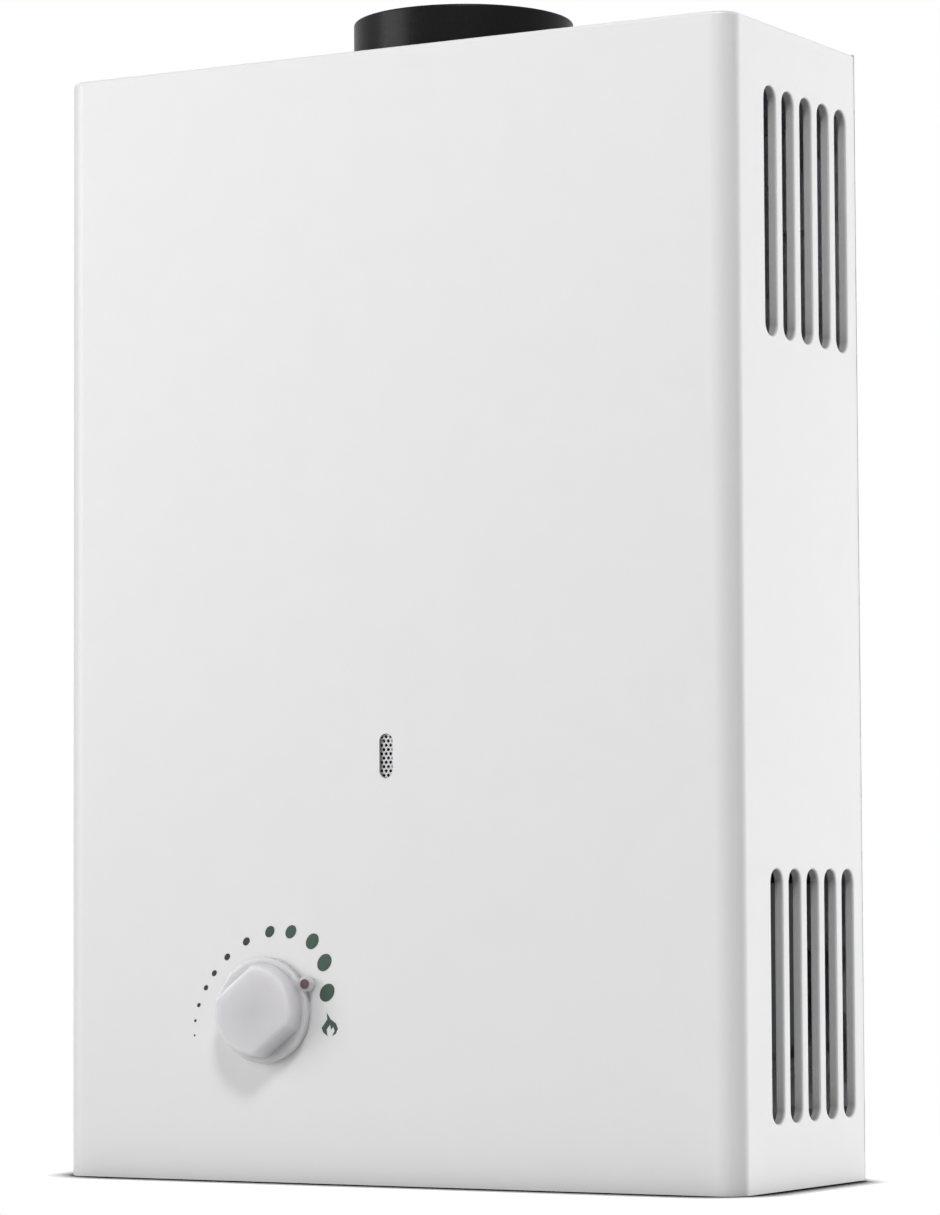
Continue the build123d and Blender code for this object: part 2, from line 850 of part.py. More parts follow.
def burner_blade(x):
    """One burner blade: venturi tube below, thin neck, and a slotted head."""
    span = (blade_front, core_y + blade_half_length)
    half_head = blade_head_width / 2
    half_neck = blade_neck_width / 2
    head_bottom = burner_top - blade_head_height
    blade = block((x - half_head, x + half_head), span, (head_bottom, burner_top))
    blade = chamfer(blade.edges().filter_by(Axis.Y), blade_wall)
    blade = blade + block((x - half_neck, x + half_neck), span, (venturi_z, head_bottom + 1))
    blade = blade + rod("Y", venturi_radius, (x, venturi_z), span)
    inside = (span[0] + blade_wall, span[1] - blade_wall)
    mouth = (span[0] - 1, span[1] - blade_wall)
    blade = blade - rod("Y", venturi_bore, (x, venturi_z), mouth)
    half_slit = blade_neck_bore / 2
    plenum_bottom = head_bottom + blade_wall
    blade = blade - block((x - half_slit, x + half_slit), inside, (venturi_z, plenum_bottom + 1))
    half_plenum = half_head - blade_wall
    blade = blade - block(
        (x - half_plenum, x + half_plenum), inside, (plenum_bottom, burner_top - blade_wall)
    )
    slots = []
    half_slot = flame_slot_length / 2
    for index in range(flame_slot_count):
        y = core_y + (index - (flame_slot_count - 1) / 2) * flame_slot_pitch
        width = (y - flame_slot_width / 2, y + flame_slot_width / 2)
        depth = (burner_top - blade_wall - 1, burner_top + 1)
        slots.append(block((x - half_slot, x + half_slot), width, depth))
    return blade - slots


def blade_places():
    """The X of each burner blade."""
    return [(index - (blade_count - 1) / 2) * blade_pitch for index in range(blade_count)]


def burner_blades():
    """All the burner blades, side by side."""
    first = burner_blade(0)
    return [Pos(x, 0, 0) * first for x in blade_places()]


def burner_frame():
    """The steel frame round the blades, with the tab that holds the two electrodes."""
    corner = chamber_inner_corner - frame_gap
    frame = rounded_column(frame_half_x, frame_half_y, corner, (frame_bottom, frame_top))
    frame = frame - rounded_column(
        frame_half_x - frame_sheet,
        blade_half_length,
        corner - frame_sheet,
        (frame_bottom - 1, frame_top + 1),
    )
    tab_front = frame_front - sensor_gap_y - 2 * ceramic_radius
    tab_left = ignition_x - 3 * ceramic_radius
    tab_right = sensor_x + 3 * ceramic_radius
    tab_z = (electrode_tab_z, electrode_tab_z + electrode_tab_sheet)
    overlap = frame_front + frame_sheet / 2
    frame = frame + block((tab_left, tab_right), (tab_front, overlap), tab_z)
    hole = ceramic_radius + electrode_hole_gap
    for x, gap in ((ignition_x, ignition_gap_y), (sensor_x, sensor_gap_y)):
        past = (tab_z[0] - 1, tab_z[1] + 1)
        frame = frame - rod("Z", hole, (x, frame_front - gap), past)
    return frame


def burner_manifold():
    """The die cast gas bar in front of the burner."""
    half = manifold_half
    bar = block((-half, half), (manifold_front, manifold_back), (manifold_bottom, manifold_top))
    bar = fillet(bar.edges().filter_by(Axis.X), 1.5)
    centre = (manifold_y, venturi_z)
    bar = bar - rod("X", manifold_bore, centre, (-half + manifold_end_wall, half - manifold_end_wall))
    bar = bar - rod("Z", manifold_bore, (knob_x, manifold_y), (manifold_bottom - 1, venturi_z))
    for x in blade_places():
        hole = (manifold_y, manifold_back + 1)
        bar = bar - rod("Y", jet_shank_radius + running_gap, (x, venturi_z), hole)
    return bar


def gas_jets():
    """Brass jets, one for each burner blade."""
    jets = []
    body_end = manifold_back + jet_body_length
    for x in blade_places():
        place = (x, venturi_z)
        jet = rod("Y", jet_shank_radius, place, (manifold_back - jet_shank_length, manifold_back))
        jet = jet + rod("Y", jet_radius, place, (manifold_back, body_end))
        jet = jet + rod("Y", jet_shank_radius, place, (body_end, jet_tip_y))
        past = (manifold_back - jet_shank_length - 1, jet_tip_y + 1)
        jets.append(jet - rod("Y", jet_orifice, place, past))
    return jets


def manifold_brackets():
    """Two steel straps that hang the manifold on the burner frame."""
    straps = []
    for centre in (-last_blade_x, last_blade_x):
        x = (centre - strap_width / 2, centre + strap_width / 2)
        flat = block(x, (manifold_front, frame_front), (manifold_top, manifold_top + strap_sheet))
        upright = block(
            x, (frame_front - strap_sheet, frame_front), (manifold_top, manifold_top + strap_rise)
        )
        straps.append(flat + upright)
    return straps


def gas_valve_body():
    """The die cast gas valve: barrel, regulator housing, riser, yoke and flange."""
    axis = (valve_y, knob_z)
    body = rod("X", gas_barrel_radius, axis, (gas_left, gas_right))
    body = body + block(
        (knob_x - regulator_half_width, knob_x + regulator_right),
        (regulator_front, valve_y),
        (knob_z - regulator_half_height, knob_z + regulator_half_height),
    )
    riser_x = (knob_x - chimney_half_width, knob_x + chimney_half_width)
    riser_y = (chimney_front, chimney_front + chimney_depth)
    body = body + block(riser_x, riser_y, (knob_z + regulator_half_height - 2, chimney_top))
    body = body + rod("Z", inlet_boss_radius, (gas_inlet_x, valve_y), (inlet_boss_bottom, knob_z))
    solenoid_back = valve_y + gas_barrel_radius + solenoid_boss_length
    solenoid_place = (gas_inlet_x, knob_z)
    body = body + rod("Y", solenoid_boss_radius, solenoid_place, (valve_y, solenoid_back))
    body = body + block(
        (foot_x - foot_half_width, foot_x + foot_half_width),
        (valve_y, foot_back),
        (knob_z - foot_half_height, knob_z + foot_half_height),
    )
    body = body + rod("X", valve_flange_radius, axis, (flange_left, flange_right))
    post_span = (gas_right - 1, flange_left + 1)
    body = body + valve_circle(post_span, yoke_post_radius, yoke_post_offset, 3, 30)

    body = body - rod("X", gas_bore, axis, (gas_left - 1, seat_left))
    body = body - rod("X", gas_bore, axis, (seat_right, gas_right - gas_end_wall))
    body = body - rod("X", seat_bore, axis, (seat_left - 1, seat_right + 1))
    rod_hole = (seat_right, gas_right + 1)
    body = body - rod("X", rod_radius + running_gap, axis, rod_hole)
    body = body - rod("Z", inlet_bore, (gas_inlet_x, valve_y), (inlet_boss_bottom - 1, knob_z))
    body = body - rod("Y", seal_bore, solenoid_place, (valve_y, solenoid_back + 1))
    regulator_span = (regulator_front - 1, regulator_back)
    body = body - rod("Y", plug_bore, (knob_x, knob_z), regulator_span)
    port_x = gas_right - gas_end_wall - port_radius - 1
    body = body - rod("Y", port_radius, (port_x, knob_z), (port_y, valve_y))
    body = body - rod("X", port_radius, (port_y, knob_z), (knob_x, port_x))
    duct_z = chimney_top - 2 * port_radius
    body = body - rod("Z", port_radius, (knob_x, port_y), (knob_z, duct_z))
    body = body - rod("Y", port_radius, (knob_x, duct_z), (manifold_y, port_y))
    body = body - rod("Z", port_radius, (knob_x, manifold_y), (duct_z, chimney_top + 1))
    body = body - rod("X", gland_hole_radius, axis, (flange_left - 1, flange_right + 1))
    holes = valve_circle(
        (flange_left - 1, flange_right + 1),
        valve_screw_radius + valve_screw_gap,
        valve_screw_circle,
        valve_screw_count,
        valve_screw_turn,
    )
    return body - holes


def manifold_gasket():
    """The fibre gasket between the valve's riser and the manifold."""
    x = (knob_x - chimney_half_width, knob_x + chimney_half_width)
    y = (chimney_front, manifold_back)
    gasket = block(x, y, (chimney_top, manifold_bottom))
    return gasket - rod("Z", manifold_bore, (knob_x, manifold_y), (chimney_top - 1, manifold_bottom + 1))


def valve_bracket():
    """The folded bracket between the valve's foot and the back plate."""
    half = foot_half_width
    return hat_bracket(
        (foot_x - half, foot_x + half),
        (foot_back, plate_front),
        (knob_z - foot_half_height, knob_z + foot_half_height),
        chamber_bracket_foot,
        chamber_bracket_sheet,
    )


def valve_bonnet():
    """The brass bonnet that closes the regulator and guides the spindle."""
    place = (knob_x, knob_z)
    flange_front = regulator_front - bonnet_flange
    bonnet = rod("Y", bonnet_flange_radius, place, (flange_front, regulator_front))
    bonnet = bonnet + rod("Y", bonnet_neck_radius, place, (flange_front - bonnet_neck, flange_front))
    past = (flange_front - bonnet_neck - 1, regulator_front + 1)
    return bonnet - rod("Y", spindle_radius + running_gap, place, past)


def gas_spindle():
    """The steel spindle from the knob to the regulating plug, flattened in the knob."""
    place = (knob_x, knob_z)
    tip = front - knob_gap - spindle_in_knob
    plug_front = regulator_front + plug_end_gap
    spindle = rod("Y", spindle_radius, place, (tip, plug_front + spindle_in_plug))
    flat = block(
        (-spindle_radius, spindle_radius),
        (tip - 1, front - knob_gap),
        (spindle_radius / 2, 2 * spindle_radius),
    )
    return spindle - Pos(knob_x, 0, knob_z) * flat


def regulating_plug():
    """The brass plug that meters the gas as the knob turns."""
    place = (knob_x, knob_z)
    plug_front = regulator_front + plug_end_gap
    plug = rod("Y", plug_bore - running_gap, place, (plug_front, regulator_back - plug_end_gap))
    hole = (plug_front - 1, plug_front + spindle_in_plug)
    plug = plug - rod("Y", spindle_radius + running_gap / 2, place, hole)
    half = 0.8 * port_radius
    depth = (port_y + 1, regulator_back)
    slit = block((knob_x, knob_x + 2 * plug_bore), depth, (knob_z - half, knob_z + half))
    return plug - slit


def valve_end_cap():
    """The brass cap that closes the gas barrel and backs the valve spring."""
    axis = (valve_y, knob_z)
    cap = rod("X", gas_barrel_radius, axis, (gas_left - gas_end_wall, gas_left))
    return cap + rod("X", gas_bore - running_gap, axis, (gas_left, gas_left + gas_end_wall))


def gas_valve_disc():
    """The gas valve disc, pressed on its seat by the spring."""
    disc = rod("X", disc_radius, (valve_y, knob_z), (disc_left, disc_right))
    return chamfer(disc.edges().filter_by(GeomType.CIRCLE), 0.6)


def gas_valve_spring():
    """The spring that closes the gas valve when no water flows."""
    span = (gas_left + gas_end_wall + spring_end_gap, disc_left - spring_end_gap)
    axis = (valve_y, knob_z)
    return spring_along("X", valve_spring_radius, valve_spring_wire, valve_spring_turns, axis, span)


def push_rod():
    """The rod that carries the diaphragm's movement to the gas valve."""
    axis = (valve_y, knob_z)
    plate_left = water_cover_right - plate_gap - plate_thickness
    push = rod("X", rod_radius, axis, (disc_right, plate_left))
    return push + rod("X", rod_collar_radius, axis, (rod_collar_left, rod_collar_right))


def diaphragm_plate():
    """The plate between the diaphragm and the rod."""
    right = water_cover_right - plate_gap
    plate = rod("X", plate_radius, (valve_y, knob_z), (right - plate_thickness, right))
    return chamfer(plate.edges().filter_by(GeomType.CIRCLE), 0.6)


def valve_screw_rods(radius, span):
    """The valve's six screw places as rods along X."""
    return valve_circle(span, radius, valve_screw_circle, valve_screw_count, valve_screw_turn)


def water_valve_cover():
    """The brass half of the water valve on the rod side."""
    axis = (valve_y, knob_z)
    cover = rod("X", valve_flange_radius, axis, (flange_right, water_cover_right))
    cover = cover + rod("X", gland_neck_radius, axis, (flange_left, flange_right))
    chamber_left = flange_right + water_cover_wall
    cover = cover - rod("X", diaphragm_chamber, axis, (chamber_left, water_cover_right + 1))
    past = (flange_left - 1, chamber_left + 1)
    cover = cover - rod("X", rod_radius + running_gap, axis, past)
    span = (flange_right - 1, water_cover_right + 1)
    return cover - valve_screw_rods(valve_screw_radius + valve_screw_gap, span)


def diaphragm():
    """The rubber diaphragm, clamped at its rim."""
    sheet = rod("X", valve_flange_radius, (valve_y, knob_z), (water_cover_right, water_body_left))
    span = (water_cover_right - 1, water_body_left + 1)
    return sheet - valve_screw_rods(valve_screw_radius + valve_screw_gap, span)


def water_valve_body():
    """The brass half with the cold inlet below, the drain boss and the outlet at its end."""
    axis = (valve_y, knob_z)
    body = rod("X", valve_flange_radius, axis, (water_body_left, water_disc_right))
    body = body + rod("X", water_barrel_radius, axis, (water_body_left, water_right))
    body = body + rod("Z", inlet_boss_radius, (cold_inlet_x, valve_y), (inlet_boss_bottom, knob_z))
    drain_top = knob_z - diaphragm_chamber
    body = body + rod("Z", drain_boss_radius, (drain_x, valve_y), (drain_boss_bottom, drain_top))
    chamber_right = water_disc_right - water_body_wall
    body = body - rod("X", diaphragm_chamber, axis, (water_body_left - 1, chamber_right))
    body = body - rod("X", water_bore, axis, (chamber_right - 1, water_right - water_end_wall))
    body = body - rod("X", pipe_bore, axis, (water_right - water_end_wall - 1, water_right + 1))
    body = body - rod("Z", inlet_bore, (cold_inlet_x, valve_y), (inlet_boss_bottom - 1, knob_z))
    drain_hole = (drain_boss_bottom - 1, knob_z)
    body = body - rod("Z", drain_screw_radius + running_gap, (drain_x, valve_y), drain_hole)
    span = (water_body_left - 1, water_disc_right + 1)
    return body - valve_screw_rods(valve_screw_radius + valve_screw_gap, span)


def valve_screws():
    """Six screws through the gas flange, the water cover, the diaphragm and the body."""
    shanks = valve_screw_rods(valve_screw_radius, (flange_left, water_disc_right))
    head_span = (flange_left - valve_screw_head, flange_left)
    heads = valve_screw_rods(valve_screw_head_radius, head_span)
    return [head + shank for head, shank in zip(heads, shanks)]


def drain_plug():
    """The winged plug that drains the heater against frost."""
    place = (drain_x, valve_y)
    head_top = drain_boss_bottom - drain_head_gap
    screw_top = drain_boss_bottom + drain_screw_depth
    plug = rod("Z", drain_screw_radius, place, (drain_head_bottom, screw_top))
    shoulder = (head_top - 3 * drain_wing_half, head_top)
    plug = plug + rod("Z", drain_head_radius, place, shoulder)
    wing = block(
        (drain_x - drain_head_radius, drain_x + drain_head_radius),
        (valve_y - drain_wing_half, valve_y + drain_wing_half),
        (drain_head_bottom, head_top),
    )
    return plug + wing


def hexagon(across, place, z):
    """An upright hexagonal prism."""
    outline = RegularPolygon(across / 2, 6, major_radius=False)
    return extrude(Pos(place[0], place[1], z[0]) * outline, z[1] - z[0])


def nipple(place, top):
    """A threaded half inch stub with a hexagon that sits on the connection bracket."""
    thread_top = connection_z - thread_relief_gap
    stub = rod("Z", thread_radius, place, (thread_bottom, thread_top))
    stub = stub + rod("Z", thread_relief_radius, place, (thread_top, hex_bottom))
    stub = stub + hexagon(hex_across, place, (hex_bottom, hex_top))
    if top > hex_top:
        stub = stub + rod("Z", nipple_radius, place, (hex_top, top))
        return stub - rod("Z", nipple_bore, place, (thread_bottom - 1, top + 1))
    stub = stub - rod("Z", nipple_bore, place, (thread_bottom - 1, hex_top - socket_depth))
    return stub - rod("Z", pipe_radius + running_gap, place, (hex_top - socket_depth, hex_top + 1))


def pipe_union():
    """The hexagonal nut round the coil pipe at the water valve's outlet."""
    nut = hexagon(union_across, (0, 0), (0, union_length))
    nut = nut - rod("Z", pipe_radius + running_gap, (0, 0), (-1, union_length + 1))
    return Pos(water_right, valve_y, knob_z) * Rot(0, 90, 0) * nut


def inlet_filter():
    """The slotted plastic strainer in the cold inlet."""
    place = (cold_inlet_x, valve_y)
    top = inlet_boss_bottom + filter_length / 2
    bottom = top - filter_length
    strainer = rod("Z", filter_radius, place, (bottom, top))
    strainer = strainer - rod("Z", filter_radius - filter_wall, place, (bottom - 1, top - filter_wall))
    for index in range(filter_slots // 2):
        slit = block((-filter_radius - 1, filter_radius + 1), (-0.7, 0.7), (bottom + 2, top - 3))
        turn = Rot(0, 0, 360 * index / filter_slots)
        strainer = strainer - Pos(cold_inlet_x, valve_y, 0) * turn * slit
    return strainer


def microswitch():
    """The switch that starts the ignition, with two ears for its lever."""
    y = (valve_y - switch_length / 2, valve_y + switch_length / 2)
    switch = block((flange_left - switch_width, flange_left), y, (switch_z, switch_z + switch_height))
    inside = lever_width / 2 + ear_gap
    for side in (-1, 1):
        ear_y = sorted((valve_y + side * inside, valve_y + side * (inside + ear_thickness)))
        ear_x = (lever_x - ear_half_width, lever_x + ear_half_width)
        ear = block(ear_x, ear_y, (lever_pivot_z - ear_half_width, switch_z))
        switch = switch + ear
        pin = rod("Y", lever_pin_radius + running_gap, (lever_x, lever_pivot_z), ear_y)
        switch = switch - pin
    return switch


def switch_lever():
    """The spring steel lever between the rod's collar and the switch."""
    half = lever_width / 2
    y = (valve_y - half, valve_y + half)
    tip = knob_z + lever_tip_above_axis
    lever = block((lever_right - lever_sheet, lever_right), y, (tip, lever_pivot_z))
    lever = lever + rod("Y", lever_hub_radius, (lever_x, lever_pivot_z), y)
    reach = half + ear_gap + ear_thickness
    pin = (valve_y - reach, valve_y + reach)
    return lever + rod("Y", lever_pin_radius, (lever_x, lever_pivot_z), pin)


def solenoid_can():
    """The steel can of the flame failure valve."""
    place = (gas_inlet_x, knob_z)
    start = valve_y + gas_barrel_radius + solenoid_boss_length
    can = rod("Y", solenoid_radius, place, (start, start + solenoid_length))
    inside = (start - 1, start + solenoid_length - solenoid_end_wall)
    return can - rod("Y", solenoid_bore, place, inside)


def solenoid_span():
    """The front and back of the plunger at rest."""
    start = valve_y + gas_barrel_radius + solenoid_boss_length
    back = start + solenoid_length - solenoid_end_wall - 2 * solenoid_travel
    return back - plunger_length, back


def solenoid_plunger():
    """The plunger with its sealing disc."""
    place = (gas_inlet_x, knob_z)
    low, high = solenoid_span()
    plunger = rod("Y", plunger_radius, place, (low, high))
    return plunger + rod("Y", seal_radius, place, (low - seal_thickness, low))


def solenoid_spring():
    """The spring that closes the flame failure valve."""
    high = solenoid_span()[1]
    span = (high + spring_end_gap, high + 2 * solenoid_travel - spring_end_gap)
    place = (gas_inlet_x, knob_z)
    radius = solenoid_spring_radius
    return spring_along("Y", radius, solenoid_spring_wire, solenoid_spring_turns, place, span)


def connection_bracket():
    """The bottom bracket that carries the three threaded stubs."""
    z = (connection_z, connection_z + connection_sheet)
    plate = block((connection_left, connection_right), (connection_front, plate_front), z)
    upstand = (connection_z, connection_z + connection_upstand)
    plate = plate + block(
        (connection_left, connection_right), (plate_front - connection_sheet, plate_front), upstand
    )
    past = (z[0] - 1, z[1] + 1)
    hole = thread_radius + connection_hole_gap
    for place in (
        (hot_outlet_x, hot_outlet_y),
        (gas_inlet_x, valve_y),
        (cold_inlet_x, valve_y),
    ):
        plate = plate - rod("Z", hole, place, past)
    clear = drain_head_radius + drain_wing_half
    plate = plate - rod("Z", clear, (drain_x, valve_y), past)
    wall_hole = (-wall_hole_spacing_x / 2, (case_height - wall_hole_spacing_z) / 2)
    return plate - rod("Y", wall_screw_room, wall_hole, (plate_front - connection_sheet - 1, plate_front + 1))


def cell_places():
    """The centres of the two cells."""
    first = battery_front + battery_wall + battery_gap / 2 + cell_pitch / 2
    return [(battery_x, first), (battery_x, first + cell_pitch)]


def battery_case():
    """The plastic battery case, open below, with two ribs to the back plate."""
    x = (battery_left, battery_right)
    y = (battery_front, battery_back)
    case = block(x, y, (battery_case_bottom, battery_top))
    case = fillet(case.edges().filter_by(Axis.Z), 2.0)
    case = case - block(
        (x[0] + battery_wall, x[1] - battery_wall),
        (y[0] + battery_wall, y[1] - battery_wall),
        (battery_case_bottom - 1, battery_top - battery_wall),
    )
    for side in (x[0] + rib_inset, x[1] - rib_inset - rib_width):
        rib = (side, side + rib_width)
        height = (battery_top - rib_height, battery_top)
        case = case + block(rib, (battery_back - battery_wall / 2, plate_front), height)
    for y0, y1 in end_knuckles():
        knuckle = rod("Y", door_hinge_radius, (door_hinge_x, door_hinge_z), (y0, y1))
        web = block(
            (battery_right - battery_wall, door_hinge_x), (y0, y1), (battery_case_bottom, door_top + 4)
        )
        post = block(
            (door_hinge_x - door_hinge_radius, door_hinge_x + door_hinge_radius),
            (y0, y1),
            (door_hinge_z, battery_case_bottom + 2 * door_hinge_radius),
        )
        case = case + knuckle + web + post
    pin = rod("Y", door_pin_radius + running_gap, (door_hinge_x, door_hinge_z), (y[0] - 1, y[1] + 1))
    return case - pin


def end_knuckles():
    """The two end knuckles of the battery door's hinge."""
    near = (battery_front + battery_wall, battery_front + battery_wall + door_knuckle_length)
    far = (battery_back - battery_wall - door_knuckle_length, battery_back - battery_wall)
    return near, far


def battery_door():
    """The door under the cells, hinged along its right edge."""
    near, far = end_knuckles()
    middle = (near[1] + door_knuckle_gap, far[0] - door_knuckle_gap)
    z = (door_bottom, door_top)
    hinge_side = door_hinge_x - door_hinge_radius - door_knuckle_gap
    door = block((battery_left, hinge_side), (battery_front, battery_back), z)
    door = door + block((hinge_side - 1, door_hinge_x), middle, z)
    door = door + rod("Y", door_hinge_radius, (door_hinge_x, door_hinge_z), middle)
    hole = rod("Y", door_pin_radius + running_gap, (door_hinge_x, door_hinge_z), middle)
    return door - hole


def door_pin():
    """The steel pin of the battery door."""
    near, far = end_knuckles()
    return rod("Y", door_pin_radius, (door_hinge_x, door_hinge_z), (near[0], far[1]))


def battery_cells():
    """Two large round cells, standing side by side."""
    bottom = battery_case_bottom + battery_floor_gap
    top = bottom + battery_length
    cells = []
    for place in cell_places():
        cell = rod("Z", battery_radius, place, (bottom, top))
        cell = chamfer(cell.edges().filter_by(GeomType.CIRCLE), 0.8)
        cells.append(cell + rod("Z", battery_tip_radius, place, (top, top + battery_tip)))
    return cells


def battery_contacts():
    """Bent leaf contacts under the roof of the battery case."""
    roof = battery_top - battery_wall
    low = battery_case_bottom + battery_floor_gap + battery_length + battery_tip
    contacts = []
    for x, y in cell_places():
        half = battery_tip_radius + 1
        leaf = block((x - half, x + half), (y - half, y + half), (roof - contact_sheet, roof))
        leg = (x - half, x - half + contact_sheet)
        leaf = leaf + block(leg, (y - half, y + half), (low + contact_sheet, roof))
        spring = (low + contact_sheet, low + 2 * contact_sheet)
        contacts.append(leaf + block((x - half, x + half), (y - half, y + half), spring))
    return contacts


def igniter_box():
    """The pulse ignition and control box."""
    box = block(
        (igniter_left, igniter_right), (igniter_front, plate_front), (igniter_bottom, igniter_top)
    )
    return fillet(box.edges().group_by(Axis.Y)[0], igniter_rounding)


def electrode(x, gap, tip_y):
    """A ceramic rod with its metal needle bent over the burner."""
    y = frame_front - gap
    ceramic = rod("Z", ceramic_radius, (x, y), (ceramic_bottom, ceramic_top))
    high = ceramic_top + needle_rise
    points = [(x, y, ceramic_top), (x, y, high), (x, tip_y, high - 2)]
    return ceramic + tube_along(points, [needle_bend], needle_radius)


def ignition_electrode():
    """The spark electrode in front of the blades."""
    return electrode(ignition_x, ignition_gap_y, blade_front + 8)


def flame_sensor():
    """The flame sensing electrode."""
    return electrode(sensor_x, sensor_gap_y, blade_front + 8)


def ignition_lead():
    """The high voltage lead between the box and the spark electrode."""
    y = frame_front - ignition_gap_y
    start_z = ceramic_bottom
    run_z = start_z - lead_drop
    far_x = igniter_left + lead_inset
    far_y = igniter_front + 8 * ignition_lead_radius
    run = far_x - ignition_x
    points = [
        (ignition_x, y, start_z),
        (ignition_x, y, run_z),
        (ignition_x + run / 3, y, run_z - lead_sag),
        (ignition_x + run / 1.5, y + lead_sag, run_z + lead_sag),
        (far_x, frame_front, run_z - lead_sag),
        (far_x + lead_sag, (frame_front + far_y) / 2, run_z - 5 * lead_sag),
        (far_x, far_y, run_z - 7 * lead_sag),
        (far_x, far_y, igniter_bottom),
    ]
    radii = [lead_bend, lead_sweep, lead_sweep, 1.75 * lead_bend, lead_sweep / 2, lead_bend]
    return tube_along(points, radii, ignition_lead_radius)


def control_leads():
    """The thin leads of the sensor, battery, solenoid, switch and thermostat."""
    floor = igniter_bottom
    sensor_y = frame_front - sensor_gap_y
    sensor = [
        (sensor_x, sensor_y, ceramic_bottom),
        (sensor_x, sensor_y, ceramic_bottom - 8),
        (sensor_x - 50, sensor_y + 0.4, ceramic_bottom - 9),
        (sensor_x - 105, sensor_y - 0.4, ceramic_bottom - 8),
        (igniter_left + 5, sensor_y + 4, ceramic_bottom - 13),
        (igniter_left + 5, sensor_y + 42, ceramic_bottom - 20),
        (igniter_left + 5, igniter_front + 8, ceramic_bottom - 21),
        (igniter_left + 5, igniter_front + 8, floor),
    ]
    wall_y = plate_front - 5.8
    battery = [
        (battery_x, battery_back - 8, battery_top),
        (battery_x, battery_back - 8, battery_top + 12),
        (battery_left + 4, wall_y - 1, battery_top + 18),
        (50, wall_y, battery_top + 12),
        (0, wall_y + 0.5, battery_top + 19),
        (-60, wall_y, battery_top + 12),
        (igniter_right - 14, wall_y - 2, battery_top + 1),
        (igniter_right - 14, wall_y - 2, floor),
    ]
    can_y = valve_y + gas_barrel_radius + solenoid_boss_length + solenoid_length / 2
    can_top = knob_z + solenoid_radius
    solenoid = [
        (gas_inlet_x, can_y, can_top),
        (gas_inlet_x, can_y, can_top + 14),
        (gas_inlet_x - 24, can_y + 3, can_top + 24),
        (igniter_right - 9, can_y - 3, can_top + 34),
        (igniter_right - 9, can_y - 3, floor),
    ]
    switch_back = valve_y + switch_length / 2
    middle = flange_left - 0.6 * switch_width
    switch_lead_z = switch_z + switch_height / 2
    switch = [
        (middle, switch_back, switch_lead_z),
        (middle, switch_back + 10, switch_lead_z),
        (middle - 20, switch_back + 26, switch_lead_z - 1),
        (middle - 60, wall_y, switch_lead_z + 1),
        (igniter_right - 20, wall_y - 4, switch_lead_z + 13),
        (igniter_right - 20, wall_y - 4, floor),
    ]
    side = hot_outlet_x - thermostat_radius
    thermostat_y = last_tube_y - pipe_radius - thermostat_height / 2 - clip_sheet
    thermostat = [
        (side, thermostat_y, thermostat_z),
        (side - 7, thermostat_y, thermostat_z),
        (side - 9, thermostat_y + 3, thermostat_z - 26),
        (side - 6, igniter_front + 8, igniter_top + 22),
        (side - 6, igniter_front + 8, igniter_top),
    ]
    routes = (
        (sensor, [5, 60, 60, 12, 40, 8]),
        (battery, [6, 10, 40, 60, 60, 10]),
        (solenoid, [6, 20, 10]),
        (switch, [6, 24, 40, 8]),
        (thermostat, [4, 16, 14]),
    )
    return [tube_along(points, radii, control_lead_radius) for points, radii in routes]


def overheat_thermostat():
    """The snap thermostat on its clip round the hot pipe."""
    place = (hot_outlet_x, last_tube_y)
    z = (thermostat_z - clip_height / 2, thermostat_z + clip_height / 2)
    bore = pipe_radius + clip_gap
    clip = ring("Z", bore + clip_sheet, bore, place, z)
    body_back = last_tube_y - pipe_radius - clip_sheet
    can = rod(
        "Y", thermostat_radius, (hot_outlet_x, thermostat_z), (body_back - thermostat_height, body_back)
    )
    return clip + can


def sight_guard():
    """The perforated guard behind the flame window, welded to the casing by two feet."""
    half = guard_width / 2
    back = inner_front + guard_recess
    z = (window_z - guard_height / 2, window_z + guard_height / 2)
    guard = block((-half, half), (back, back + guard_sheet), z)
    for side in (-1, 1):
        leg = sorted((side * half, side * (half - guard_sheet)))
        guard = guard + block(leg, (inner_front, back + guard_sheet), z)
        foot = sorted((side * (half - guard_sheet), side * (half + guard_foot)))
        guard = guard + block(foot, (inner_front, inner_front + guard_sheet), z)
    holes = []
    rows = int(window_height / guard_row_pitch) + 2
    columns = int(window_width / guard_hole_pitch) + 2
    span = (back - 1, back + guard_sheet + 1)
    for row in range(rows):
        height = window_z + (row - (rows - 1) / 2) * guard_row_pitch
        shift = guard_hole_pitch / 2 * (row % 2) - guard_hole_pitch / 4
        for column in range(columns):
            x = (column - (columns - 1) / 2) * guard_hole_pitch + shift
            holes.append(rod("Y", guard_hole_radius, (x, height), span))
    return guard - holes


def knob_frame(shape):
    """Turns a shape drawn with Z out of the panel so that it stands on the casing's front."""
    return Pos(knob_x, front - knob_gap, knob_z) * Rot(90, 0, 0) * shape


def pointer_place():
    """The middle of the pointer's dot, seen from the front, from the knob's axis."""
    angle = math.radians(knob_rest_angle)
    return pointer_offset * math.cos(angle), pointer_offset * math.sin(angle)


